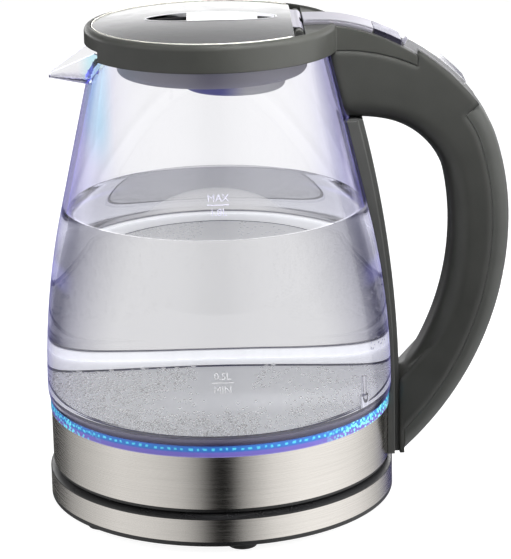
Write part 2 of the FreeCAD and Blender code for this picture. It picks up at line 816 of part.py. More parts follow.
def spout_loft(name, inset):
    """A cone from an oval inside the jug to the spout's tip."""
    turn = FreeCAD.Rotation(FreeCAD.Vector(1, 1, 1), 120)
    tip_level = level_rim - spout_drop + spout_tip_lip
    root_oval = doc.addObject("Part::Ellipse", f"{name}_root")
    bind(root_oval, {"MajorRadius": spout_root_width - inset, "MinorRadius": spout_root_height - inset})
    tip_oval = doc.addObject("Part::Ellipse", f"{name}_tip")
    bind(tip_oval, {"MajorRadius": spout_tip_radius - inset * 0.5, "MinorRadius": spout_tip_radius - inset * 0.5})
    for rim, x, z in ((root_oval, -spout_root, level_rim), (tip_oval, inset * 0.5 - spout_reach, tip_level)):
        rim.Placement.Rotation = turn
        place(rim, x, 0, z)
    loft = doc.addObject("Part::Loft", name)
    loft.Sections = [root_oval, tip_oval]
    loft.Solid = True
    loft.Ruled = True
    return loft


def glass_jug():
    outer_top = glass_edge(as_size(0), level_rim)
    inner = glass_edge(-glass_wall, level_rim)
    outside = turned("jug_outside", [(0, level_glass), *outer_top, (0, level_rim)])
    inside = turned("jug_inside", [(0, level_glass), *inner, (0, level_rim)])
    below_rim = padded("spout_rim_cut", [
        (-spout_reach - 5, level_rim - spout_drop * 3), (-spout_root, level_rim - spout_drop * 3),
        (-spout_root, level_rim - glass_wall), (-glass_radius(level_rim, -glass_wall / 2), level_rim - seat_gap),
        (-spout_reach, level_rim - spout_drop), (-spout_reach - 5, level_rim - spout_drop)],
        spout_root_width * 3)
    lip = common("spout_lip", spout_loft("spout_outside", as_size(0)), below_rim)
    whole = fuse("jug_blank", outside, lip)
    node("glass_jug", cut("glass_jug", whole, inside, spout_loft("spout_inside", spout_wall)))


def on_arc(name, radius, angle):
    return moved(CURVE[name], radius, angle)


def on_top(x, offset=0):
    """Height of the handle's top arc at x, moved in by an offset."""
    radius = top_arc - offset
    run = as_size(x) - CURVE["top"][0]
    return CURVE["top"][1] + root(radius * radius - run * run)


def on_lower(x, offset):
    radius = lower_arc - offset
    run = as_size(x) - CURVE["lower"][0]
    return CURVE["lower"][1] - root(radius * radius - run * run)


def jug_envelope():
    """The jug's outside with room round it, which shapes the pieces that lie along it."""
    wall = glass_edge(seat_gap, level_collar)
    reach = skirt_radius + part_gap
    return turned("jug_envelope", [
        (0, level_jug), (reach, level_jug), (reach, level_skirt_top),
        (belly_radius - toe_in + seat_gap, level_skirt_top), *wall, (0, level_collar)])


def hood_bottom(x, drop=0):
    radius = hood_arc - drop
    run = as_size(x) - hood_start
    return level_collar + seat_gap - hood_arc + root(radius * radius - run * run)


def switch_pocket(name, room, width):
    """The power switch's space on the top arc; room widens it all round."""
    high, low = top_arc + switch_proud + room, top_arc - switch_depth - room
    spread = room / top_arc * 57.3
    first, last = switch_start_angle + spread * 0.4, switch_end_angle - spread * 0.4
    return padded(name, [
        on_arc("top", low, first), (*on_arc("top", low, last), arc(low, -1)),
        on_arc("top", high, last), (*on_arc("top", high, first), arc(high, 1))], width)


def button_space(name, x_from, x_to, depth, width, stem):
    high, low = top_arc, top_arc - depth
    corners = [(x_from, on_top(x_from, depth)), (x_to, on_top(x_to, depth), arc(low, -1)),
               (x_to, on_top(x_to)), (x_from, on_top(x_from), arc(high, 1))]
    if stem is None:
        return padded(name, corners, width)
    return fuse(name, padded(f"{name}_cap", corners, width), stem)


def lever_outline(room_low, room_high, start, end):
    """The cranked release lever, or the space that it swings in."""
    low = level_lever
    high = low + lever_sheet
    crank_from, crank_to = lever_pivot_x - lever_crank_run / 2, lever_pivot_x + lever_crank_run / 2
    front_low, front_high = low - room_low[0], high + room_high[0]
    back_low, back_high = low - lever_crank - room_low[1], high - lever_crank + room_high[1]
    return [
        (start, front_low), (crank_from, front_low), (crank_to, back_low), (end, back_low), (end, back_high),
        (crank_to + lever_crank_lead, back_high), (crank_from + lever_crank_lead, front_high),
        (start, front_high)]


def hinge_place():
    x = lid_chord + knuckle_radius
    z = level_dome_edge - hinge_drop
    return x, z


def mirrored_rods(name, radius, inner, outer, x, z):
    """Two rods along Y, alike on both sides."""
    return copies(name, lambda label, index: rod(
        label, radius, outer - inner, x, inner if index == 0 else -outer, z, "y"), 2)


def mirrored_blocks(name, low, high, inner, outer):
    return copies(name, lambda label, index: block(
        label, (low[0], inner if index == 0 else -outer, low[1]),
        (high[0], outer if index == 0 else -inner, high[1])), 2)


def collar_and_handle(skirt_band):
    envelope = jug_envelope()
    half = handle_width / 2
    hinge_x, hinge_z = hinge_place()
    deck_top = CURVE["tongue"][1] + tongue_arc - tongue_sheet
    deck_low = level_seat - deck_sink

    # Collar: ring over the jug's rim, deck behind the lid, hood over the handle, lugs for the hinge pin
    ceiling = level_rim + rim_seal
    ring = turned("collar_ring", [
        (collar_radius, level_collar), (collar_radius, level_collar_top - collar_round),
        (collar_radius - collar_round, level_collar_top, arc(collar_round, 1)),
        (lid_way, level_collar_top), (lid_way, level_seat), (collar_bore, level_seat), (collar_bore, ceiling),
        (glass_radius(ceiling, seat_gap), ceiling), (collar_seat, level_collar)])
    deck_radius = (lid_way + collar_radius) / 2
    deck = common("collar_deck", rod("deck_disc", deck_radius, deck_top - deck_low, z=deck_low), block(
        "deck_side", (tongue_start, -collar_radius, deck_low), (collar_radius, collar_radius, deck_top)))
    hood_wall = collar_seat + part_gap
    hood_front = (tongue_start + hood_wall) / 2
    top_radius = top_arc - tongue_sheet
    tongue_radius = tongue_arc - tongue_sheet
    hood = padded("hood", [
        (hood_wall, hood_bottom(hood_start)), (hood_start, hood_bottom(hood_start)),
        (hood_end, hood_bottom(hood_end), arc(hood_arc, -1)), (hood_end, on_top(hood_end, tongue_sheet)),
        (*on_arc("top", top_radius, tongue_angle), arc(top_radius, 1)),
        (CURVE["tongue"][0], deck_top, arc(tongue_radius, 1)),
        (hood_front, deck_top), (hood_front, deck_low), (hood_wall, deck_low)], handle_width)
    lug_from, lug_to = knuckle_outer + seat_gap, knuckle_outer + seat_gap + lug_width
    lug_radius = knuckle_radius - part_gap * 2
    lugs = mirrored_rods("lug_eyes", lug_radius, lug_from, lug_to, hinge_x, hinge_z)
    webs = mirrored_blocks(
        "lug_webs", (hinge_x, hinge_z - lug_radius), (hood_front, hinge_z), lug_from, lug_to)
    blank = fuse("collar_blank", ring, deck, hood, lugs, webs)

    pin_way = rod("hinge_way", hinge_radius + fit_gap, lug_to * 2, hinge_x, -lug_to, hinge_z, "y")
    lever_z = level_lever + lever_sheet / 2 - lever_crank / 2
    lever_way = rod(
        "lever_pin_way", hinge_radius + fit_gap, lever_width * 2, lever_pivot_x, -lever_width, lever_z, "y")
    lever_space_end = lever_end + 3 * seat_gap
    lever_cavity = padded("lever_cavity", lever_outline(
        (3 * seat_gap, lever_room), (lever_room, seat_gap), lid_chord, lever_space_end),
        lever_width + 4 * seat_gap)
    eye_radius = hinge_radius + lever_eye_wall
    eye_half = lever_width / 2 + 2 * seat_gap
    eye_room = rod("eye_room", eye_radius + seat_gap, eye_half * 2, lever_pivot_x, -eye_half, lever_z, "y")
    button_pocket = button_space("button_pocket", button_from - seat_gap, button_to + seat_gap,
                                 button_sheet + button_travel + 2 * seat_gap, button_width + 2 * seat_gap, None)
    pocket = switch_pocket("switch_pocket", switch_room, switch_width + 2 * seat_gap)
    notch_top = level_collar + spout_notch_height
    notch = block("spout_notch", (-spout_reach, -(spout_notch_width / 2), level_collar),
                  (-(collar_bore - glass_wall), spout_notch_width / 2, notch_top))
    tongue_top = CURVE["tongue"][1] + tongue_arc

    def tongue_outline(lift, rise):
        tongue_x = CURVE["tongue"][0]
        low, high = tongue_radius + lift, tongue_arc + rise
        return [
            (tongue_start, deck_top + lift), (tongue_x, deck_top + lift),
            (*on_arc("tongue", low, tongue_angle), arc(low, -1)), on_arc("tongue", high, tongue_angle),
            (tongue_x, tongue_top + rise, arc(high, 1)), (tongue_start, tongue_top + rise)]

    tongue_way = padded("tongue_way", tongue_outline(as_size(0), tongue_sheet), tongue_width + 2 * part_gap)
    ways = (pin_way, lever_way, lever_cavity, eye_room, button_pocket, pocket, notch, tongue_way)
    node("collar", cut("collar", blank, *ways))
    seal = turned("rim_ring", [
        (glass_radius(level_rim, -glass_wall), level_rim), (rim_radius, level_rim),
        (rim_radius, ceiling), (glass_radius(level_rim, -glass_wall), ceiling)])
    node("collar_seal", cut("collar_seal", seal, notch))

    # Bright tongue along the handle's top
    strip = padded("tongue_strip", tongue_outline(fit_gap, as_size(0)), tongue_width)

    def upper_edge(e):
        flat = abs(abs(e.BoundBox.YMax) - tongue_width.value / 2) < 0.01 and e.BoundBox.YLength < 0.01
        return flat and on_outside(e, tongue_arc, "tongue") and e.Length > 5

    rounded(strip, tongue_round, upper_edge)
    node("handle_top_trim", strip)

    # Handle frame: grip, top block and foot
    loop_back = (loop_reach - loop_back_arc, loop_middle)
    corner = moved(loop_back, loop_back_arc - loop_corner_arc, loop_corner_angle)
    crown = moved(corner, loop_corner_arc - loop_top_arc, loop_top_angle)
    corner_from = moved(loop_back, loop_back_arc, loop_corner_angle)
    crown_from = moved(corner, loop_corner_arc, loop_top_angle)
    spine_low = level_skirt
    inner_back, inner_shoulder = back_arc - rear_cover, shoulder_arc - rear_cover
    inner_low = lower_arc - rear_cover
    inside = collar_bore
    frame_blank = padded("frame_blank", [
        (inside, level_collar), (hood_start, level_collar),
        (hood_end + seat_gap, hood_bottom(hood_end + seat_gap, seat_gap), arc(hood_arc - seat_gap, -1)),
        (hood_end + seat_gap, on_top(hood_end + seat_gap)),
        (*on_arc("top", top_arc, top_angle), arc(top_arc, -1)),
        on_arc("top", top_arc - rear_cover, top_angle),
        (*on_arc("shoulder", inner_shoulder, shoulder_angle), arc(inner_shoulder, -1)),
        (handle_reach - rear_cover, handle_middle, arc(inner_back, -1)),
        (cover_x, on_lower(cover_x, rear_cover), arc(inner_low, -1)),
        (cover_x, spine_low), (spine_reach, spine_low), (spine_reach, loop_bottom - loop_step),
        (loop_low_x, loop_bottom), (loop_reach, loop_middle, arc(loop_lower_arc, 1)),
        (*corner_from, arc(loop_back_arc, 1)), (*crown_from, arc(loop_corner_arc, 1)),
        (crown[0], loop_top, arc(loop_top_arc, 1)), (inside, loop_top)], handle_width)

    def side_arc(radii):
        """Picks the arcs of these radii on the handle's two flat sides."""
        def chosen(edge):
            box = edge.BoundBox
            flat = abs(abs(box.YMax) - half.value) < 0.01 and box.YMax - box.YMin < 0.01
            return flat and hasattr(edge.Curve, "Radius") and min(
                abs(edge.Curve.Radius - radius.value) for radius in radii) < 0.01
        return chosen

    rounded(frame_blank, grip_round, side_arc((loop_lower_arc, loop_back_arc, loop_corner_arc, loop_top_arc)))
    pin_x, pin_z = on_arc("top", top_arc - switch_pin_depth, (switch_start_angle + switch_end_angle) / 2)
    pin_reach = switch_width / 2 + switch_pin_hold
    switch_way = rod("switch_pin_way", switch_pin_radius + fit_gap, pin_reach * 2, pin_x, -pin_reach, pin_z, "y")
    node("handle_frame", cut("handle_frame", frame_blank, envelope, pocket, switch_way))

    gap = part_gap
    cover_blank = padded("handle_rear_cover", [
        on_arc("top", top_arc, top_angle - 0.1),
        (*on_arc("shoulder", shoulder_arc, shoulder_angle), arc(shoulder_arc, -1)),
        (handle_reach, handle_middle, arc(back_arc, -1)),
        (cover_x + gap, on_lower(cover_x + gap, 0), arc(lower_arc, -1)),
        (cover_x + gap, on_lower(cover_x + gap, rear_cover - gap)),
        (handle_reach - rear_cover + gap, handle_middle, arc(inner_low + gap, 1)),
        (*on_arc("shoulder", inner_shoulder + gap, shoulder_angle), arc(inner_back + gap, 1)),
        (*on_arc("top", top_arc - rear_cover + gap, top_angle - 0.1), arc(inner_shoulder + gap, 1))], handle_width)

    node("handle_rear_cover", rounded(cover_blank, cover_round, side_arc((shoulder_arc, back_arc, lower_arc))))

    # Spine: a rib on a wider flange that hugs the jug
    def spine_outline(inset):
        return [
            (spine_reach - spine_core, spine_low), (spine_reach - inset, spine_low),
            (spine_reach - inset, spine_middle), (spine_top_x - inset, spine_top, arc(spine_arc - inset, 1)),
            (spine_top_x - spine_core * 2, spine_top)]

    rib = padded("spine_rib", spine_outline(as_size(0)), spine_rib)
    flange = padded("spine_flange", spine_outline(spine_flange), spine_width)
    spine = fuse("spine_blank", rib, flange)
    skirt_inner = skirt_radius - sheet_metal
    screw_x = root(skirt_inner * skirt_inner - screw_head * screw_head) - screw_head_height
    screw_length = spine_reach - screw_x - spine_screw_cover

    def spine_screw(label, index):
        level = spine_screw_level + spine_screw_pitch * index
        return fuse(label, rod(f"{label}_head", screw_head, screw_head_height, screw_x, 0, level, "x"),
                    rod(f"{label}_shank", screw_shank, screw_length, screw_x, 0, level, "x"))

    screw_ways = copies("handle_screw_ways", lambda label, index: rod(
        label, screw_shank + fit_gap, screw_length, screw_x, 0,
        spine_screw_level + spine_screw_pitch * index, "x"), 2)
    node("handle_spine", cut("handle_spine", spine, envelope, screw_ways))
    node("handle_screws", copies("handle_screws", spine_screw, 2))
    node("steel_skirt", cut("steel_skirt", skirt_band, screw_ways))

    # Hinge pin, release lever with its pin, and lid button
    node("hinge_pin", rod("hinge_pin", hinge_radius, lug_to * 2, hinge_x, -lug_to, hinge_z, "y"))
    node("lever_pin", rod("lever_pin", hinge_radius, lever_width * 2, lever_pivot_x, -lever_width, lever_z, "y"))
    still = (as_size(0), as_size(0))
    lever = padded("lever_bar", lever_outline(still, still, lid_chord - lever_bite, lever_end), lever_width)
    eye = rod("lever_eye", eye_radius, lever_width, lever_pivot_x, -(lever_width / 2), lever_z, "y")
    lever_hole = rod(
        "lever_hole", hinge_radius + fit_gap, lever_width, lever_pivot_x, -(lever_width / 2), lever_z, "y")
    node("release_lever", cut("release_lever", fuse("lever_blank", lever, eye), lever_hole))
    lever_back = level_lever + lever_sheet - lever_crank
    stem_half, stem_side = button_stem / 2, lever_width / 4
    stem = block("button_stem", (button_middle - stem_half, -stem_side, lever_back + seat_gap),
                 (button_middle + stem_half, stem_side, on_top(button_middle, button_sheet / 2)))
    node("lid_button", button_space("lid_button", button_from, button_to, button_sheet, button_width, stem))

    # Power switch: a rocker on its own pin
    rocker = switch_pocket("switch_rocker", as_size(0), switch_width)
    node("power_switch", cut("power_switch", rocker, switch_way))
    node("switch_pin", rod("switch_pin", switch_pin_radius, pin_reach * 2, pin_x, -pin_reach, pin_z, "y"))


def on_outside(edge, radius, name):
    centre = CURVE[name]
    middle = edge.CenterOfMass
    return math.hypot(middle.x - centre[0].value, middle.z - centre[1].value) > radius.value - 1.0


def lid():
    dome = (lid_radius * lid_radius + lid_crown * lid_crown) / (2 * lid_crown)
    hinge_x, hinge_z = hinge_place()
    inner_edge = lid_radius - trim_width - part_gap
    def behind_lid(name, x):
        return block(name, (x, -collar_radius, level_collar - plug_depth),
                     (collar_radius, collar_radius, level_dome + lid_depth))

    behind = behind_lid("lid_behind", lid_chord)

    def dome_solid(name, low, drop, edge):
        run = as_size(edge)
        edge_level = level_dome - drop - dome + root(dome * dome - run * run)
        return turned(name, [(0, low), (edge, low), (edge, edge_level), (0, level_dome - drop, arc(dome, 1))])

    skin_low = level_dome_edge - lid_sheet
    cap = cut("cap_sheet", dome_solid("cap_outside", skin_low, as_size(0), inner_edge),
              dome_solid("cap_inside", skin_low - 1, lid_sheet, inner_edge - lid_sheet))
    recess = oval("recess_way", recess_length + 2 * part_gap, recess_width + 2 * part_gap,
                  level_seat - recess_depth, level_dome + 1)
    node("lid_top", cut("lid_top", cap, behind, recess))
    trim = turned("trim_ring", [
        (lid_radius - trim_width, skin_low), (lid_radius, skin_low),
        (lid_radius, level_dome_edge), (lid_radius - trim_width, level_dome_edge)])
    node("lid_trim_ring", cut("lid_trim_ring", trim, behind_lid("trim_behind", lid_chord - trim_back)))

    # Inner lid: flange, plug with a flat back, hinge knuckles
    frame_top = skin_low - fit_gap
    plug_low = level_lid - plug_depth
    plug = turned("plug_blank", [
        (0, plug_low), (plug_radius - plug_round, plug_low),
        (plug_radius, plug_low + plug_round, arc(plug_round, 1)), (plug_radius, level_lid),
        (lid_radius - trim_width, level_lid), (lid_radius - trim_width, frame_top), (0, frame_top)])
    back_low = level_lid - plug_back_depth
    back_cut = block("plug_back", (lid_chord, -collar_radius, back_low),
                     (collar_radius, collar_radius, level_dome + lid_depth))
    core = rod("plug_core", plug_radius - plug_wall, plug_depth, z=plug_low + plug_wall)
    hollow = common("plug_hollow", core, block(
        "plug_room", (-plug_radius, -plug_radius, plug_low),
        (lid_chord - plug_wall - 2 * seat_gap, plug_radius, frame_top)))
    lever_slot = block("lever_slot", (
        lid_chord - lever_bite - seat_gap, -(lever_width / 2 + seat_gap), level_lever - seat_gap),
        (lid_chord + 1, lever_width / 2 + seat_gap, level_lever + lever_sheet + lever_room))
    knuckles = mirrored_rods("knuckles", knuckle_radius, knuckle_inner, knuckle_outer, hinge_x, hinge_z)
    webs = mirrored_blocks(
        "knuckle_webs", (lid_chord - plug_wall, level_lid), (hinge_x, frame_top), knuckle_inner, knuckle_outer)
    shell = cut("plug_shell", plug, hollow, back_cut)
    pin_hole = rod(
        "knuckle_hole", hinge_radius + fit_gap, knuckle_outer * 2, hinge_x, -knuckle_outer, hinge_z, "y")
    eye_room = rod(
        "knuckle_room", hinge_radius + seat_gap, knuckle_inner * 2, hinge_x, -knuckle_inner, hinge_z, "y")
    node("lid_frame", cut("lid_frame", fuse("plug_hinged", shell, knuckles, webs), pin_hole, eye_room, lever_slot))
    seal_top = level_seat - lid_seal_drop
    seal_edge = collar_bore - lid_seal_gap
    seal = turned("lid_seal_ring", [
        (plug_radius + fit_gap, seal_top - lid_seal_height), (seal_edge, seal_top - lid_seal_height * 0.6),
        (seal_edge, seal_top), (plug_radius + fit_gap, seal_top)])
    node("lid_seal", cut("lid_seal", seal, behind))
    baffle_low = plug_low - baffle_depth
    baffle = turned("steam_baffle", [
        (0, baffle_low), (baffle_radius - plug_round, baffle_low),
        (baffle_radius, baffle_low + plug_round, arc(plug_round, 1)), (baffle_radius, plug_low), (0, plug_low)])
    node("steam_baffle", place(baffle, baffle_offset))

    # Grip: a recess cup with a bright edge, bridged by a bar
    cup_low = level_seat - recess_depth + plug_wall
    cup_top = level_dome - bezel_height
    cup = cut("cup_shell", oval("cup_outside", recess_length, recess_width, cup_low, cup_top), oval(
        "cup_inside", recess_length - 2 * recess_wall, recess_width - 2 * recess_wall, cup_low + recess_wall, cup_top))
    node("grip_cup", cup)
    dome_cover = dome_solid("dome_cover", cup_low, -part_gap, inner_edge)
    bezel = cut("bezel_ring", oval("bezel_outside", recess_length, recess_width, cup_top, level_dome + 1), oval(
        "bezel_inside", recess_length - 2 * bezel_width, recess_width - 2 * bezel_width, cup_top, level_dome + 1))
    node("grip_bezel", common("grip_bezel", bezel, dome_cover))
    grip_low = level_dome - grip_thickness
    inset = 2 * recess_wall + 2 * fit_gap
    grip_span = block("grip_span", (grip_start, -recess_width, grip_low), (grip_end, recess_width, level_dome + 1))
    slab = common("grip_slab", oval(
        "grip_oval", recess_length - inset, recess_width - inset, grip_low, level_dome + 1), grip_span)
    node("lid_grip", common("lid_grip", slab, dome_cover))


def check_and_write():
    doc.recompute()
    failed = [f"{o.Label}: {o.State}" for o in doc.Objects if "Invalid" in o.State or "Error" in o.State]
    for thing in nodes:
        if thing.Shape.isNull() or not thing.Shape.isValid() or not thing.Shape.Solids:
            failed.append(f"{thing.Label}: no valid solid")
    if failed:
        raise RuntimeError("; ".join(failed))
    os.makedirs("parts", exist_ok=True)
    for thing in nodes:
        thing.Shape.exportStep(f"parts/{thing.Label}.step")
        print(thing.Label, len(thing.Shape.Solids), round(thing.Shape.Volume, 1))


power_base()
skirt = jug_bottom(*coupler())
glass_jug()
collar_and_handle(skirt)
lid()
check_and_write()
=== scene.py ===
import math
import random

import bmesh
import bpy
from mathutils import Matrix, Vector


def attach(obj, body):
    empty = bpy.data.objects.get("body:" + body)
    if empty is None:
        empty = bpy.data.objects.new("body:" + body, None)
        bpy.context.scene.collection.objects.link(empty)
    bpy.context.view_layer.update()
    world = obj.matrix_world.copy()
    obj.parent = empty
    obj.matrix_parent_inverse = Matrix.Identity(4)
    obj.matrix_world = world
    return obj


# Glass kettle on its power base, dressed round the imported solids, in metres.

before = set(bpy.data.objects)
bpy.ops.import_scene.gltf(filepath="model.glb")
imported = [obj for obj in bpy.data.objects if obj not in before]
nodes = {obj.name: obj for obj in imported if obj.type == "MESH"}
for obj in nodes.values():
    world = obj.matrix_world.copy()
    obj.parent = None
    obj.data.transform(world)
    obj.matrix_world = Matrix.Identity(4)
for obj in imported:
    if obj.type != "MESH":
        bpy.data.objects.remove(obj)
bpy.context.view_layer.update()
scene = bpy.context.scene
scene.view_settings.view_transform = "Standard"

# Camera of the photograph, fitted to the kettle's outline
IMAGE_HEIGHT = 559
FOCAL_PIXELS = 2454.9
SENSOR_WIDTH = 36.0
CAMERA_PLACE = Vector((0.0, -1.1036, 0.4334))
CAMERA_YAW = math.radians(0.93)
CAMERA_PITCH = math.radians(16.6)
CAMERA_ROLL = math.radians(-1.16)
CAMERA_NEAR = 0.05
CAMERA_FAR = 50

# Levels and radii of the jug, as the solids have them
GLASS_FOOT = 0.0515
GLASS_WALL = 0.0025
BELLY_RADIUS = 0.0813
BELLY_LEVEL = 0.0575
BELLY_ARC = 0.365
CONE_ANGLE = math.radians(13)
TOE_IN = 0.0009
RING_FOOT = 0.0461
PLATE_LEVEL = 0.0507
PLATE_RIM_LEVEL = 0.0545
PLATE_RIM_RADIUS = 0.0742
DISC_RADIUS = 0.0604
WATER_LEVEL = 0.1425

# Rim and hinge of the lid, as the solids have them
LID_LINE_RADIUS = 0.0542
LID_LINE_LEVEL = 0.2274
LID_REAR_EDGE = 0.0354
HINGE_X = 0.038997
HINGE_LEVEL = 0.2252

# Stops at which a noise pattern counts as low and as high
NOISE_STOPS = (0.3, 0.7)
LINE_STOPS = (0.35, 0.65)

# Grain, relief and corner radius of moulded plastic
PLASTIC_GRAIN = 1400.0
PLASTIC_RELIEF = 0.00003
PLASTIC_EDGE = 0.0008

WHITE = (1, 1, 1, 1)
FULL_TURN = 2 * math.pi


def make_camera():
    forward = Vector((math.sin(CAMERA_YAW) * math.cos(CAMERA_PITCH),
                      math.cos(CAMERA_YAW) * math.cos(CAMERA_PITCH), -math.sin(CAMERA_PITCH)))
    level = forward.cross(Vector((0, 0, 1))).normalized()
    above = level.cross(forward)
    right = level * math.cos(CAMERA_ROLL) + above * math.sin(CAMERA_ROLL)
    up = above * math.cos(CAMERA_ROLL) - level * math.sin(CAMERA_ROLL)
    lens = bpy.data.cameras.new("camera")
    lens.sensor_width = SENSOR_WIDTH
    lens.lens = FOCAL_PIXELS / IMAGE_HEIGHT * SENSOR_WIDTH
    lens.clip_start = CAMERA_NEAR
    lens.clip_end = CAMERA_FAR
    camera = bpy.data.objects.new("camera", lens)
    turned = Matrix((right, up, -forward)).transposed().to_4x4()
    camera.matrix_world = Matrix.Translation(CAMERA_PLACE) @ turned
    scene.collection.objects.link(camera)
    scene.camera = camera


# Shader nodes

def node(tree, kind, inputs=None, **settings):
    """Adds a shader node; inputs maps socket names to values or to sockets of other nodes."""
    made = tree.nodes.new(kind)
    for name, value in settings.items():
        setattr(made, name, value)
    for name, value in (inputs or {}).items():
        if isinstance(value, bpy.types.NodeSocket):
            tree.links.new(value, made.inputs[name])
        else:
            made.inputs[name].default_value = value
    return made


def ramp(tree, factor, *stops):
    """A colour ramp through (place, colour) stops."""
    made = node(tree, "ShaderNodeValToRGB", {"Fac": factor})
    elements = made.color_ramp.elements
    while len(elements) < len(stops):
        elements.new(0.5)
    for element, (stop, colour) in zip(elements, stops):
        element.position = stop
        element.color = (*colour, 1)
    return made.outputs["Color"]


def grey(value):
    return (value, value, value)


def maths(tree, operation, first, second=0.0, third=0.0):
    inputs = {0: first, 1: second, 2: third}
    return node(tree, "ShaderNodeMath", inputs, operation=operation).outputs[0]


def between(tree, value, low, high):
    """Runs from 0 to 1 as a value goes from low to high, smoothly."""
    inputs = {"Value": value, "From Min": low, "From Max": high}
    return node(tree, "ShaderNodeMapRange", inputs, interpolation_type="SMOOTHSTEP").outputs["Result"]


def close_to(tree, value, centre, far, near):
    """Runs from 0 to 1 as a value comes from a far to a near distance of a centre."""
    away = maths(tree, "ABSOLUTE", maths(tree, "SUBTRACT", value, centre))
    return between(tree, away, far, near)


def blend_colour(tree, factor, first, second, kind="MIX"):
    made = node(tree, "ShaderNodeMix", {0: factor}, data_type="RGBA", blend_type=kind)
    for index, colour in ((6, first), (7, second)):
        if isinstance(colour, bpy.types.NodeSocket):
            tree.links.new(colour, made.inputs[index])
        else:
            made.inputs[index].default_value = (*colour, 1)
    return made.outputs[2]


def place(tree, scale=(1, 1, 1)):
    """The point of the surface in the kettle's own frame, stretched by a scale."""
    here = node(tree, "ShaderNodeTexCoord").outputs["Object"]
    return node(tree, "ShaderNodeMapping", {"Vector": here, "Scale": scale}).outputs["Vector"]


def split(tree, vector):
    return node(tree, "ShaderNodeSeparateXYZ", {"Vector": vector}).outputs


def reach_of(tree, parts):
    """Distance from the kettle's axis."""
    across = maths(tree, "MULTIPLY", parts["X"], parts["X"])
    along = maths(tree, "MULTIPLY", parts["Y"], parts["Y"])
    return maths(tree, "SQRT", maths(tree, "ADD", across, along))


def turn_from_front(tree, parts):
    """Angle about the kettle's axis: 0 in front of it, and growing towards the handle."""
    return maths(tree, "ARCTAN2", parts["X"], maths(tree, "MULTIPLY", parts["Y"], -1.0))


def turn_from_behind(tree, parts):
    """Turn away from straight behind the kettle: 0 behind it, 1 in front of it."""
    turn = maths(tree, "ABSOLUTE", maths(tree, "ARCTAN2", parts["X"], parts["Y"]))
    return maths(tree, "DIVIDE", turn, math.pi)


def speckle(tree, scale, detail=4.0, stretch=(1, 1, 1)):
    inputs = {"Vector": place(tree, stretch), "Scale": scale, "Detail": detail}
    return node(tree, "ShaderNodeTexNoise", inputs).outputs["Fac"]


# Materials

def bare_material(name):
    """A material with no nodes yet."""
    material = bpy.data.materials.new(name)
    material.use_nodes = True
    material.node_tree.nodes.clear()
    return material, material.node_tree


def principled(name, colour, roughness, **sockets):
    material = bpy.data.materials.new(name)
    material.use_nodes = True
    tree = material.node_tree
    shader = tree.nodes["Principled BSDF"]
    shader.inputs["Base Color"].default_value = (*colour, 1)
    shader.inputs["Roughness"].default_value = roughness
    for socket, value in sockets.items():
        shader.inputs[socket.replace("_", " ")].default_value = value
    return material, tree, shader


def bump(tree, shader, height, depth, strength=1.0, edge=0.0):
    """Relief from a height; edge softens the corners of the piece by that radius."""
    made = node(tree, "ShaderNodeBump", {"Height": height, "Distance": depth, "Strength": strength})
    if edge:
        soft = node(tree, "ShaderNodeBevel", {"Radius": edge}, samples=8)
        tree.links.new(soft.outputs["Normal"], made.inputs["Normal"])
    tree.links.new(made.outputs["Normal"], shader.inputs["Normal"])


def vary_colour(tree, shader, pattern, stops, colour, darkest, palest):
    """Base colour that follows a pattern, from its darkest to its palest share."""
    ends = [tuple(min(1.0, part * share) for part in colour) for share in (darkest, palest)]
    tree.links.new(ramp(tree, pattern, *zip(stops, ends)), shader.inputs["Base Color"])


def vary_roughness(tree, shader, pattern, smoothest, roughest):
    ends = (grey(max(0.0, smoothest)), grey(roughest))
    tree.links.new(ramp(tree, pattern, *zip(NOISE_STOPS, ends)), shader.inputs["Roughness"])


def absorb(tree, colour, density):
    """Colour that a clear body takes on with its depth."""
    tint = node(tree, "ShaderNodeVolumeAbsorption", {"Color": (*colour, 1), "Density": density})
    tree.links.new(tint.outputs["Volume"], tree.nodes["Material Output"].inputs["Volume"])


def plastic(name, colour, roughness, grain=PLASTIC_GRAIN, relief=PLASTIC_RELIEF, edge=PLASTIC_EDGE,
            **sockets):
    """Moulded plastic: fine grain, soft corners, and roughness that wanders a little."""
    spread = 0.06
    material, tree, shader = principled(name, colour, roughness, **sockets)
    vary_colour(tree, shader, speckle(tree, 60.0), NOISE_STOPS, colour, 0.9, 1.1)
    vary_roughness(tree, shader, speckle(tree, 90.0), roughness - spread, roughness + spread)
    bump(tree, shader, speckle(tree, grain), relief, edge=edge)
    return material


def two_tone(name, axis, first, second, roughness=0.5, **sockets):
    """Moulded plastic in two colours along an axis of the kettle; each is a (place, colour) pair. On the
    glass seal the darker front colour is painted shade.
    """
    material, tree, shader = principled(name, first[1], roughness, **sockets)
    along = split(tree, place(tree))[axis]
    shade = blend_colour(tree, between(tree, along, first[0], second[0]), first[1], second[1])
    tree.links.new(shade, shader.inputs["Base Color"])
    bump(tree, shader, speckle(tree, PLASTIC_GRAIN), PLASTIC_RELIEF, edge=PLASTIC_EDGE)
    return material


def brushed_steel(name, colour, roughness, stretch):
    """Steel brushed round its axis: fine lines, and a reflection drawn out across them."""
    material, tree, shader = principled(name, colour, roughness, Metallic=1.0, Anisotropic=0.75,
                                        Anisotropic_Rotation=0.25)
    around = node(tree, "ShaderNodeTangent", direction_type="RADIAL", axis="Z")
    tree.links.new(around.outputs["Tangent"], shader.inputs["Tangent"])
    lines = speckle(tree, 1.0, 6.0, stretch)
    vary_colour(tree, shader, lines, LINE_STOPS, colour, 0.9, 1.08)
    vary_roughness(tree, shader, lines, roughness - 0.06, roughness + 0.08)
    bump(tree, shader, lines, 0.00002, 0.5)
    return material


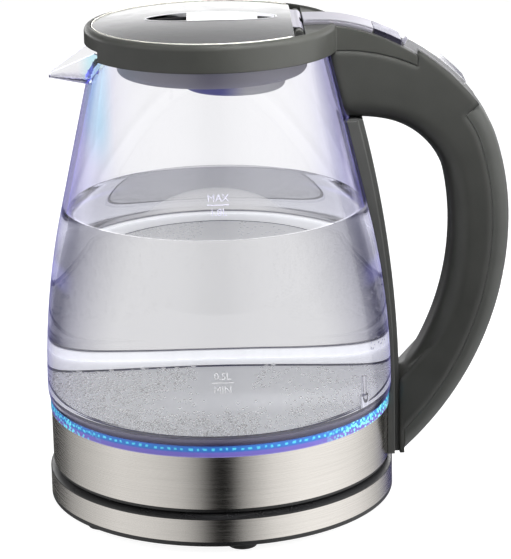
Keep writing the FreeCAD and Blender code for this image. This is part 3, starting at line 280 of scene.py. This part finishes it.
def metal(name, colour, roughness, spread=0.04, metallic=1.0):
    """Smooth metal or metallic paint, with soft corners and roughness that wanders a little."""
    material, tree, shader = principled(name, colour, roughness, Metallic=metallic)
    vary_roughness(tree, shader, speckle(tree, 120.0), roughness - spread, roughness + spread)
    bump(tree, shader, speckle(tree, 900.0), 0.00001, 0.15, edge=0.0003)
    return material


def clear_glass():
    """Clear glass, a little wavy, with painted light of the lit ring: a painted violet tint as it slants
    away, a painted blue glow at its edge and in a band round the jug, and a painted cyan streak beside the
    spout.
    """
    painted_streak_x = -0.0520
    painted_streak_foot, painted_streak_head = 0.165, 0.190
    gleam_level = 0.1155
    violet, cyan, blue = (0.82, 0.80, 0.98), (0.64, 0.93, 1.0), (0.34, 0.32, 1.0)
    edge_glow, gleam_glow = 0.30, 0.16
    material, tree, shader = principled("clear_glass", (1, 1, 1), 0.0, IOR=1.47, Transmission_Weight=1.0,
                                        Emission_Color=(*blue, 1))
    bump(tree, shader, speckle(tree, 14.0, 1.0), 0.0003, 0.15)
    slant = node(tree, "ShaderNodeLayerWeight", {"Blend": 0.5}).outputs["Facing"]
    parts = split(tree, place(tree))

    # Painted light: violet where the glass slants away, standing in for the ring's blue light in the glass
    painted_edge_violet = blend_colour(tree, between(tree, slant, 0.15, 0.85), grey(1.0), violet)
    # Painted cyan streak of the ring's light on the glass beside the spout
    tall = maths(tree, "MULTIPLY", between(tree, parts["Z"], painted_streak_foot, painted_streak_head),
                 between(tree, parts["Y"], 0.0, -0.01))
    painted_streak = maths(tree, "MULTIPLY", close_to(tree, parts["X"], painted_streak_x, 0.009, 0.001), tall)
    tree.links.new(blend_colour(tree, painted_streak, painted_edge_violet, cyan), shader.inputs["Base Color"])

    # Painted glow: blue light at the glass's edges and in a band round it, though the glass is no lamp
    glow = maths(tree, "MULTIPLY", between(tree, slant, 0.70, 1.0), edge_glow)
    gleam = maths(tree, "MULTIPLY", close_to(tree, parts["Z"], gleam_level, 0.007, 0.002),
                  between(tree, slant, 0.45, 0.70))
    shine = maths(tree, "MULTIPLY_ADD", gleam, gleam_glow, glow)
    tree.links.new(shine, shader.inputs["Emission Strength"])
    absorb(tree, (0.58, 0.56, 0.95), 14.0)
    return material


def clear_water():
    material, tree, shader = principled("clear_water", (1, 1, 1), 0.0, IOR=1.333, Transmission_Weight=1.0)
    bump(tree, shader, speckle(tree, 25.0, 1.0), 0.0004, 0.2)
    absorb(tree, (0.5, 0.5, 0.48), 0.9)
    return material


def air_bubble():
    """Air inside water, so its index is the inverse of the water's."""
    material, tree = bare_material("air_bubble")
    out = node(tree, "ShaderNodeOutputMaterial")
    skin = node(tree, "ShaderNodeBump", {
        "Height": speckle(tree, 800.0), "Distance": 0.00005, "Strength": 0.2})
    clear = node(tree, "ShaderNodeBsdfGlass", {
        "Color": WHITE, "Roughness": 0.0, "IOR": 0.75, "Normal": skin.outputs["Normal"]})
    tree.links.new(clear.outputs[0], out.inputs["Surface"])
    return material


def plate_steel():
    """Heating plate: brushed lines with painted light: a soft painted glow over the disc and a streak across
    it, as of the ring's light, a painted bright edge, and painted shade on the rim in front.
    """
    rim_foot, rim_head = PLATE_RIM_LEVEL - 0.0009, PLATE_RIM_LEVEL - 0.0003
    disc_glow, painted_streak_glow, edge_glow = 0.36, 0.10, 0.60
    material, tree, shader = principled("plate_steel", grey(0.9), 0.5, Emission_Color=(0.94, 0.96, 1.0, 1))
    parts = split(tree, place(tree))
    lines = speckle(tree, 1.0, 6.0, (900, 900, 30))
    shade = ramp(tree, lines, *zip(LINE_STOPS, (grey(0.80), grey(0.95))))
    # Painted shade: the rim is darker in front than behind
    painted_shade_front = maths(tree, "MULTIPLY", between(tree, parts["Z"], rim_foot, rim_head),
                  between(tree, parts["Y"], 0.03, -0.02))
    tree.links.new(blend_colour(tree, painted_shade_front, shade, (0.13, 0.11, 0.12)), shader.inputs["Base Color"])

    # Painted light: a glow over the disc, a streak across it and a bright edge behind, though the plate is
    # no lamp
    edge = between(tree, reach_of(tree, parts), DISC_RADIUS, DISC_RADIUS + 0.0008)
    painted_glow_rear = maths(tree, "SUBTRACT", edge, painted_shade_front)
    painted_streak = maths(tree, "MULTIPLY", close_to(tree, parts["Y"], 0.0, 0.022, 0.002),
                   between(tree, parts["X"], -0.03, 0.02))
    disc = maths(tree, "MULTIPLY_ADD", painted_streak, painted_streak_glow, disc_glow)
    inner = maths(tree, "MULTIPLY", disc, maths(tree, "SUBTRACT", 1.0, edge))
    shine = maths(tree, "MULTIPLY_ADD", painted_glow_rear, edge_glow, inner)
    tree.links.new(shine, shader.inputs["Emission Strength"])
    bump(tree, shader, lines, 0.00002, 0.5)
    return material


def lit_ring():
    """Translucent ring: a violet strip below, a row of cyan dots above, sparkles at both sides."""
    dots, dot_colour = 150, (0.10, 0.60, 0.85)
    handle_sparkle, spout_sparkle = (0.25, 0.95, 0.85), (0.15, 0.80, 1.0)
    glow = 0.45
    material, tree, shader = principled("lit_ring", (0.25, 0.25, 0.8), 0.25)
    parts = split(tree, place(tree))
    height = node(tree, "ShaderNodeMapRange", {
        "Value": parts["Z"], "From Min": RING_FOOT, "From Max": GLASS_FOOT}).outputs["Result"]
    turn = turn_from_front(tree, parts)
    strip = ramp(tree, height, (0.0, (0.26, 0.24, 0.55)), (0.10, (0.15, 0.12, 0.46)),
                 (0.38, (0.16, 0.13, 0.50)), (0.50, (0.04, 0.15, 0.50)),
                 (0.75, (0.03, 0.19, 0.58)), (1.0, (0.05, 0.14, 0.50)))

    wander = maths(tree, "MULTIPLY", speckle(tree, 140.0, 2.0), 1.3)
    count = maths(tree, "MULTIPLY_ADD", turn, dots / FULL_TURN, wander)
    row_height = maths(tree, "MULTIPLY_ADD", speckle(tree, 210.0, 2.0), 0.3, 0.55)
    dot = maths(tree, "MULTIPLY", close_to(tree, maths(tree, "FRACT", count), 0.5, 0.28, 0.12),
                close_to(tree, height, row_height, 0.14, 0.05))
    lit = blend_colour(tree, dot, strip, dot_colour)

    flecks = node(tree, "ShaderNodeTexVoronoi", {"Vector": place(tree), "Scale": 620.0}).outputs["Distance"]
    right = maths(tree, "MULTIPLY", between(tree, turn, 0.55, 0.90), between(tree, flecks, 0.55, 0.28))
    lit = blend_colour(tree, right, lit, handle_sparkle)
    left = maths(tree, "MULTIPLY", between(tree, turn, -0.70, -1.0), between(tree, flecks, 0.50, 0.28))
    lit = blend_colour(tree, left, lit, spout_sparkle)
    tree.links.new(lit, shader.inputs["Base Color"])
    tree.links.new(lit, shader.inputs["Emission Color"])
    shine = maths(tree, "MULTIPLY", between(tree, height, 0.99, 0.95), glow)
    tree.links.new(shine, shader.inputs["Emission Strength"])
    return material


make_camera()

# Plastics and rubber
DARK = plastic("dark_plastic", (0.044, 0.045, 0.041), 0.34)
GRIP = plastic("grip_plastic", (0.041, 0.042, 0.039), 0.35, edge=0.0045, Specular_IOR_Level=0.4)
REAR = plastic("rear_plastic", (0.062, 0.064, 0.060), 0.36)
SPINE = plastic("spine_plastic", (0.065, 0.066, 0.064), 0.40)
BLACK = plastic("black_plastic", (0.012, 0.012, 0.013), 0.3)
INNER = plastic("inner_plastic", (0.36, 0.35, 0.43), 0.5)
PLUG = two_tone("plug_plastic", "Z", (0.2225, (0.36, 0.35, 0.43)), (0.2228, (0.02, 0.02, 0.02)))
BOSS = two_tone("boss_plastic", "X", (0.004, (0.20, 0.20, 0.55)), (0.016, (0.72, 0.72, 0.76)))
RUBBER = plastic("rubber", (0.015, 0.015, 0.015), 0.7, 900.0, 0.00006)
SEAL = plastic("seal_rubber", (0.5, 0.5, 0.52), 0.6)
# The glass seal's violet front is painted shade; its back keeps the pale colour
SHADED_FOOT_SEAL = two_tone("foot_seal_painted_shade", "Y", (-0.03, (0.34, 0.32, 0.50)), (0.03, (0.80, 0.80, 0.86)), 0.6)
BOARD = plastic("circuit_board", (0.03, 0.16, 0.07), 0.5)
PLATE_LINE = plastic("plate_line", (0.03, 0.03, 0.12), 0.4)
# The print carries a faint painted glow
PRINT = two_tone("mark_print", "Z", (0.10, (0.85, 0.85, 0.88)), (0.14, (0.62, 0.61, 0.75)), 0.6,
                 Emission_Color=WHITE, Emission_Strength=0.05)

# Metals
STEEL = brushed_steel("brushed_steel", (0.70, 0.67, 0.63), 0.24, (30, 30, 9000))
PLATE = plate_steel()
LID = metal("lid_paint", (0.46, 0.46, 0.47), 0.24, 0.02, metallic=0.95)
SILVER = metal("silver_trim", (0.72, 0.70, 0.80), 0.32, 0.01, metallic=0.92)
# Painted reflection: the lid button's violet-blue stands in for a reflection of blue light
PAINTED_BLUE_BUTTON = metal("button_painted_reflection", (0.22, 0.21, 0.32), 0.26)
BAR = metal("bright_bar", (0.92, 0.92, 0.93), 0.3, metallic=0.0)
CREAM = metal("cream_trim", (0.90, 0.88, 0.80), 0.3, metallic=0.2)
ROCKER = metal("rocker_chrome", (0.85, 0.85, 0.88), 0.14, metallic=0.75)
CHROME = metal("chrome", (0.80, 0.80, 0.83), 0.08)
DULL = metal("dull_metal", (0.45, 0.45, 0.45), 0.45)
BRASS = metal("contact_metal", (0.70, 0.52, 0.22), 0.3)

# Clear and lit materials
GLASS = clear_glass()
WATER = clear_water()
AIR = air_bubble()
RING = lit_ring()

MATERIAL_OF = {
    DARK: ("collar",),
    REAR: ("handle_rear_cover",),
    GRIP: ("handle_frame",),
    SPINE: ("handle_spine",),
    BLACK: ("base_tray", "base_bottom", "cord_inlet", "base_connector", "coupler_socket", "jug_bottom_cover",
            "grip_cup"),
    INNER: ("thermostat", "release_lever"),
    PLUG: ("lid_frame",),
    BOSS: ("steam_baffle",),
    RUBBER: ("base_feet",),
    SEAL: ("collar_seal", "lid_seal"),
    SHADED_FOOT_SEAL: ("glass_seal",),
    BOARD: ("led_board",),
    STEEL: ("steel_skirt", "base_steel_ring"),
    PLATE: ("heating_plate",),
    LID: ("lid_top",),
    SILVER: ("handle_top_trim",),
    PAINTED_BLUE_BUTTON: ("lid_button",),
    BAR: ("lid_grip",),
    ROCKER: ("power_switch",),
    CHROME: ("lid_trim_ring", "grip_bezel", "sensor_probe"),
    DULL: ("heat_diffuser", "heating_element", "base_screws", "bottom_screws", "handle_screws", "hinge_pin",
           "lever_pin", "switch_pin"),
    BRASS: ("base_contacts", "bimetal_discs"),
    GLASS: ("glass_jug",),
    RING: ("light_ring", "leds"),
}
for material, names in MATERIAL_OF.items():
    for name in names:
        mesh = nodes[name].data
        mesh.materials.clear()
        mesh.materials.append(material)


# Pieces beside the solids

def glass_radius(level, offset=0.0):
    """Radius of the jug's outside at a level, moved out by an offset."""
    turn_level = BELLY_LEVEL + BELLY_ARC * math.sin(CONE_ANGLE)
    if level < BELLY_LEVEL:
        drop = (BELLY_LEVEL - level) / (BELLY_LEVEL - GLASS_FOOT)
        return BELLY_RADIUS - TOE_IN * drop * drop + offset
    if level < turn_level:
        rise = level - BELLY_LEVEL
        return BELLY_RADIUS - BELLY_ARC + math.sqrt(BELLY_ARC * BELLY_ARC - rise * rise) + offset
    edge = BELLY_RADIUS - BELLY_ARC * (1 - math.cos(CONE_ANGLE))
    return edge - (level - turn_level) * math.tan(CONE_ANGLE) + offset / math.cos(CONE_ANGLE)


def mesh_of(name, verts, faces):
    mesh = bpy.data.meshes.new(name)
    mesh.from_pydata(verts, [], faces)
    return mesh


def smooth(mesh):
    for polygon in mesh.polygons:
        polygon.use_smooth = True


def mesh_piece(name, mesh, material, body):
    piece = bpy.data.objects.new(name, mesh)
    scene.collection.objects.link(piece)
    mesh.materials.append(material)
    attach(piece, body)


def lathe(name, profile, material, body, closed=False):
    """Turns a profile of (radius, level) points about the axis; points on the axis close its ends."""
    steps = 128
    sharp_corner = math.radians(35)
    turns = [FULL_TURN * i / steps for i in range(steps)]
    made = bmesh.new()
    rings = []
    for radius, level in profile:
        if radius == 0.0:
            rings.append([made.verts.new((0, 0, level))])
            continue
        rings.append([made.verts.new((radius * math.cos(turn), radius * math.sin(turn), level))
                      for turn in turns])
    pairs = list(zip(rings, rings[1:]))
    if closed:
        pairs.append((rings[-1], rings[0]))
    for low, high in pairs:
        for i in range(steps):
            j = (i + 1) % steps
            corners = [low[i % len(low)], low[j % len(low)], high[j % len(high)], high[i % len(high)]]
            made.faces.new(list(dict.fromkeys(corners)))
    bmesh.ops.recalc_face_normals(made, faces=made.faces)
    mesh = bpy.data.meshes.new(name)
    made.to_mesh(mesh)
    made.free()
    smooth(mesh)
    mesh.set_sharp_from_angle(angle=sharp_corner)
    mesh_piece(name, mesh, material, body)


def make_water():
    """Water from the plate up to its level, a little into the glass, and drawn up at the wall."""
    wall = -GLASS_WALL + 0.0003
    bed = PLATE_LEVEL - 0.0001
    foot = PLATE_RIM_LEVEL - 0.0002
    head = WATER_LEVEL - 0.0012
    steps = 24
    levels = [foot + (head - foot) * i / steps for i in range(steps + 1)]
    edge = [(glass_radius(level, wall), level) for level in levels]
    top = glass_radius(WATER_LEVEL, wall)
    profile = [(0.0, bed), (PLATE_RIM_RADIUS, bed), (PLATE_RIM_RADIUS, foot), *edge,
               (top, WATER_LEVEL + 0.0006), (top - 0.0012, WATER_LEVEL + 0.0001),
               (top - 0.003, WATER_LEVEL), (0.0, WATER_LEVEL)]
    lathe("water", profile, WATER, "jug")


def make_plate_line():
    """Dark line round the plate's disc."""
    inside, outside = DISC_RADIUS, DISC_RADIUS + 0.0007
    foot, head = PLATE_LEVEL + 0.00002, PLATE_LEVEL + 0.0007
    profile = [(inside, foot), (inside, head), (outside, head), (outside, foot)]
    lathe("plate_line", profile, PLATE_LINE, "jug", closed=True)


def make_bubbles():
    """Small air bubbles that sit on the plate and on the glass beside the handle."""
    plate_tries, plate_sizes = 9000, (0.0004, 0.0008)
    bed_radius, cell = 0.0595, 0.0016
    marks_x, marks_half_width = 0.002, 0.009
    glass_count, glass_sizes = 110, (0.0002, 0.00045)
    glass_levels, glass_turns = (0.080, 0.108), (math.radians(5), math.radians(32))
    wall_gap = 0.0001
    random.seed(7)
    ball = bmesh.new()
    bmesh.ops.create_icosphere(ball, subdivisions=2, radius=1.0)
    points = [vert.co.copy() for vert in ball.verts]
    sides = [tuple(vert.index for vert in face.verts) for face in ball.faces]
    ball.free()
    verts, faces = [], []

    def bubble(centre, radius):
        first = len(verts)
        verts.extend(tuple(point * radius + Vector(centre)) for point in points)
        faces.extend(tuple(first + i for i in side) for side in sides)

    def crowd(x, y, reach):
        """Share of the bubbles that stay: few in the middle, near the handle and at the back."""
        share = min(1.0, max(0.05, (reach - 0.018) / 0.030))
        if x > 0.015:
            share *= 0.25
        if y > 0.03:
            share *= 0.4
        return share * 0.8

    taken = {}
    for _ in range(plate_tries):
        reach = bed_radius * math.sqrt(random.random())
        turn = random.uniform(0, FULL_TURN)
        x, y = reach * math.cos(turn), reach * math.sin(turn)
        behind_marks = abs(x - marks_x) < marks_half_width and y > 0.0
        if behind_marks or random.random() > crowd(x, y, reach):
            continue
        radius = random.uniform(*plate_sizes)
        spot = (math.floor(x / cell), math.floor(y / cell))
        near = [taken.get((spot[0] + i, spot[1] + j)) for i in (-1, 0, 1) for j in (-1, 0, 1)]
        if any(one and math.hypot(x - one[0], y - one[1]) < radius + one[2] for one in near):
            continue
        taken[spot] = (x, y, radius)
        bubble((x, y, PLATE_LEVEL + radius * 0.9), radius)
    for _ in range(glass_count):
        level = random.uniform(*glass_levels)
        turn = random.uniform(*glass_turns)
        radius = random.uniform(*glass_sizes)
        reach = glass_radius(level, -GLASS_WALL) - radius - wall_gap
        bubble((reach * math.cos(turn), -reach * math.sin(turn), level), radius)
    mesh = mesh_of("bubbles", verts, faces)
    smooth(mesh)
    mesh_piece("bubbles", mesh, AIR, "jug")


def make_marks():
    """Printed level marks on the front of the glass, bent round it."""
    letter_size, line_width = 0.0033 * 1.35, 0.0004
    word_above, word_below = 0.0015, -0.0046
    skin, shift = 0.00012, 0.0012
    marks = ((0.1588, 0.0095, "MAX", "1.8L"), (0.0812, 0.0100, "0.5L", "MIN"))

    def letters(text, level):
        curve = bpy.data.curves.new("mark", "FONT")
        curve.body = text
        curve.size = letter_size
        curve.align_x = "CENTER"
        curve.resolution_u = 3
        thing = bpy.data.objects.new("mark", curve)
        scene.collection.objects.link(thing)
        drawn = thing.evaluated_get(bpy.context.evaluated_depsgraph_get())
        mesh = bpy.data.meshes.new_from_object(drawn)
        bpy.data.objects.remove(thing)
        points = [(vert.co.x, level + vert.co.y) for vert in mesh.vertices]
        polygons = [tuple(polygon.vertices) for polygon in mesh.polygons]
        bpy.data.meshes.remove(mesh)
        return points, polygons

    def line(level, length):
        count = 12
        points = []
        for i in range(count + 1):
            x = -length / 2 + length * i / count
            points += [(x, level - line_width / 2), (x, level + line_width / 2)]
        return points, [(2 * i, 2 * i + 2, 2 * i + 3, 2 * i + 1) for i in range(count)]

    verts, faces = [], []

    def print_on_glass(points, polygons):
        first = len(verts)
        for x, level in points:
            radius = glass_radius(level) + skin
            turn = (x + shift) / radius
            verts.append((radius * math.sin(turn), -radius * math.cos(turn), level))
        faces.extend(tuple(first + i for i in polygon) for polygon in polygons)

    for level, length, above, below in marks:
        print_on_glass(*letters(above, level + word_above))
        print_on_glass(*line(level, length))
        print_on_glass(*letters(below, level + word_below))
    mesh_piece("level_marks", mesh_of("level_marks", verts, faces), PRINT, "jug")


def make_lid_line():
    """Thin bright line on the lid's rim, from one end of its straight rear edge to the other."""
    thick = 0.00026
    steps, sides = 180, 8
    start = math.acos(LID_REAR_EDGE / LID_LINE_RADIUS)
    verts, faces = [], []
    for i in range(steps + 1):
        turn = start + (FULL_TURN - 2 * start) * i / steps
        for j in range(sides):
            lean = FULL_TURN * j / sides
            out = LID_LINE_RADIUS + thick * math.cos(lean)
            level = LID_LINE_LEVEL + thick * math.sin(lean)
            verts.append((out * math.cos(turn), out * math.sin(turn), level))
    for i in range(steps):
        for j in range(sides):
            k = (j + 1) % sides
            faces.append((i * sides + j, (i + 1) * sides + j, (i + 1) * sides + k, i * sides + k))
    faces.append(tuple(reversed(range(sides))))
    faces.append(tuple(steps * sides + j for j in range(sides)))
    mesh = mesh_of("lid_line", verts, faces)
    smooth(mesh)
    for cap in mesh.polygons[-2:]:
        cap.use_smooth = False
    mesh_piece("lid_line", mesh, CREAM, "lid")


def make_lid_hem():
    """Thin hem that rolls over the lid's hinge, in three strips; the middle one stops short of the lever."""
    roll, sheet = 0.00268, 0.00012
    front_x, front_level, front_sheet = 0.03655, 0.22815, 1.4 * sheet
    first_lean, bends = 104, 14
    side_lean, lever_lean = 12, 60
    half_width, lever_side, gap_side = 0.0214, 0.0046, 0.0047
    strips = ((-half_width, -gap_side, side_lean), (-lever_side, lever_side, lever_lean),
              (gap_side, half_width, side_lean))

    def rolled(radius, lean):
        return HINGE_X + radius * math.cos(lean), HINGE_LEVEL + radius * math.sin(lean)

    verts, faces = [], []
    for near, far, last_lean in strips:
        leans = [math.radians(first_lean - (first_lean - last_lean) * i / bends) for i in range(bends + 1)]
        outside = [(front_x, front_level)] + [rolled(roll, lean) for lean in leans]
        inside = [(front_x, front_level - front_sheet)] + [rolled(roll - sheet, lean) for lean in leans]
        outline = outside + inside[::-1]
        count = len(outline)
        first = len(verts)
        verts += [(x, side, z) for side in (near, far) for x, z in outline]
        for i in range(count):
            j = (i + 1) % count
            faces.append((first + i, first + j, first + count + j, first + count + i))
        for start, step in ((first, 1), (first + count, -1)):
            for i in range(len(outside) - 1):
                face = (start + i, start + count - 1 - i, start + count - 2 - i, start + i + 1)
                faces.append(face[::step])
    mesh_piece("lid_hem", mesh_of("lid_hem", verts, faces), SILVER, "lid")


make_water()
make_plate_line()
make_bubbles()
make_marks()
make_lid_line()
make_lid_hem()


# Studio

def seen_through(tree, parts):
    """Floor through glass and water: white behind, violet flags to the sides, paler far off, and a painted
    shadow of the kettle near it.
    """
    flag, far_flag = (0.08, 0.08, 0.15), (0.72, 0.70, 0.95)
    reach = reach_of(tree, parts)
    sides = ramp(tree, turn_from_behind(tree, parts), (0.0, grey(1.0)), (0.04, grey(0.97)),
                 (0.10, (0.5, 0.5, 0.55)), (0.15, flag), (0.20, flag), (0.27, grey(0.9)), (1.0, grey(1.0)))
    pale = maths(tree, "MULTIPLY", between(tree, reach, 0.52, 0.62), 0.7)
    sides = blend_colour(tree, pale, sides, far_flag, "LIGHTEN")
    # Painted shadow: the floor is darker near the kettle
    near = blend_colour(tree, between(tree, reach, 0.3, 0.7), grey(0.80), grey(1.0))
    return blend_colour(tree, 1.0, sides, near, "MULTIPLY")


def mirrored_room(tree, parts):
    """What metal mirrors: a dark strip in front, pale sides, and behind white low down and dark above."""
    height = parts["Z"]
    around = maths(tree, "MULTIPLY_ADD", turn_from_front(tree, parts), 1 / FULL_TURN, 0.5)
    sides = ramp(tree, around,
                 (0.0, grey(0.03)), (0.085, grey(0.02)), (0.13, grey(0.07)), (0.162, grey(0.17)),
                 (0.213, grey(0.27)), (0.293, grey(0.38)), (0.36, grey(0.35)), (0.421, grey(0.27)),
                 (0.455, grey(0.15)), (0.479, grey(0.02)), (0.492, grey(0.0)), (0.516, grey(0.0)),
                 (0.536, grey(0.14)), (0.594, grey(0.39)), (0.657, grey(0.49)), (0.726, grey(0.49)),
                 (0.781, grey(0.43)), (0.851, grey(0.25)), (0.922, (0.02, 0.02, 0.06)), (1.0, grey(0.03)))
    behind = ramp(tree, height, (0.0, grey(1.0)), (0.05, grey(0.95)), (0.12, grey(0.75)),
                  (0.18, grey(0.49)), (0.24, grey(0.22)), (0.31, grey(0.15)), (0.40, grey(0.10)),
                  (0.6, grey(0.07)), (1.0, grey(0.05)))
    share = maths(tree, "MULTIPLY", between(tree, height, -0.06, 0.0),
                  between(tree, turn_from_behind(tree, parts), 0.45, 0.25))
    shown = blend_colour(tree, share, sides, behind)
    return blend_colour(tree, between(tree, height, 0.6, 0.85), shown, grey(0.05))


def mix_shaders(tree, factor, first, second):
    made = node(tree, "ShaderNodeMixShader", {"Fac": factor})
    tree.links.new(first.outputs[0], made.inputs[1])
    tree.links.new(second.outputs[0], made.inputs[2])
    return made


def make_floor():
    """White floor that keeps the kettle's shadow; glass and water see it with flags at the sides."""
    reach = 12.0
    mesh = mesh_of("floor", [(-reach, -reach, 0), (reach, -reach, 0), (reach, reach, 0), (-reach, reach, 0)],
                   [(0, 1, 2, 3)])
    floor = bpy.data.objects.new("floor", mesh)
    floor.visible_glossy = False
    scene.collection.objects.link(floor)
    material, tree = bare_material("floor_white")
    out = node(tree, "ShaderNodeOutputMaterial")
    path = node(tree, "ShaderNodeLightPath").outputs
    matte = node(tree, "ShaderNodeBsdfDiffuse", {"Color": (0.35, 0.35, 0.35, 1)})
    bright = node(tree, "ShaderNodeEmission", {"Color": WHITE, "Strength": 0.92})
    lifted = node(tree, "ShaderNodeAddShader")
    tree.links.new(matte.outputs[0], lifted.inputs[0])
    tree.links.new(bright.outputs[0], lifted.inputs[1])
    plain = mix_shaders(tree, path["Is Camera Ray"], matte, lifted)
    parts = split(tree, node(tree, "ShaderNodeTexCoord").outputs["Object"])
    through = node(tree, "ShaderNodeEmission", {"Color": seen_through(tree, parts), "Strength": 1.0})
    both = mix_shaders(tree, path["Is Transmission Ray"], plain, through)
    tree.links.new(both.outputs[0], out.inputs["Surface"])
    mesh.materials.append(material)


def make_world():
    """Soft light all round; white for the camera and through glass, a room of light and shade for metal."""
    world = bpy.data.worlds.new("studio")
    scene.world = world
    world.use_nodes = True
    tree = world.node_tree
    tree.nodes.clear()
    out = node(tree, "ShaderNodeOutputWorld")
    path = node(tree, "ShaderNodeLightPath").outputs
    parts = split(tree, node(tree, "ShaderNodeTexCoord").outputs["Generated"])

    def light(colour, strength):
        return node(tree, "ShaderNodeBackground", {"Color": colour, "Strength": strength})

    soft = ramp(tree, parts["Z"], (0.0, grey(0.62)), (0.4, grey(0.5)), (0.8, grey(0.3)), (1.0, grey(0.25)))
    clear = mix_shaders(tree, path["Is Transmission Ray"], light(soft, 0.22), light(WHITE, 1.5))
    both = mix_shaders(tree, path["Is Glossy Ray"], clear, light(mirrored_room(tree, parts), 2.5))
    shown = mix_shaders(tree, path["Is Camera Ray"], both, light(WHITE, 0.98))
    tree.links.new(shown.outputs[0], out.inputs["Surface"])


def make_lamps():
    """Soft round lamps, each a name, a place, a size and a power in watts, aimed at the jug's middle."""
    aim = Vector((0, 0, 0.11))
    lamps = (("lamp_left", (-1.2, -0.4, 0.7), 0.7, 8), ("lamp_right", (1.2, -0.35, 0.6), 0.7, 14),
             ("lamp_top", (0.1, 0.2, 1.3), 0.8, 7), ("lamp_near", (0.10, -0.13, 0.37), 0.10, 1.0))
    for name, spot, size, power in lamps:
        lamp = bpy.data.lights.new(name, "AREA")
        lamp.shape = "DISK"
        lamp.size = size
        lamp.energy = power
        lit = bpy.data.objects.new(name, lamp)
        lit.visible_glossy = False
        lit.visible_transmission = False
        lit.location = spot
        lit.rotation_euler = (aim - Vector(spot)).to_track_quat("-Z", "Y").to_euler()
        scene.collection.objects.link(lit)


make_floor()
make_world()
make_lamps()
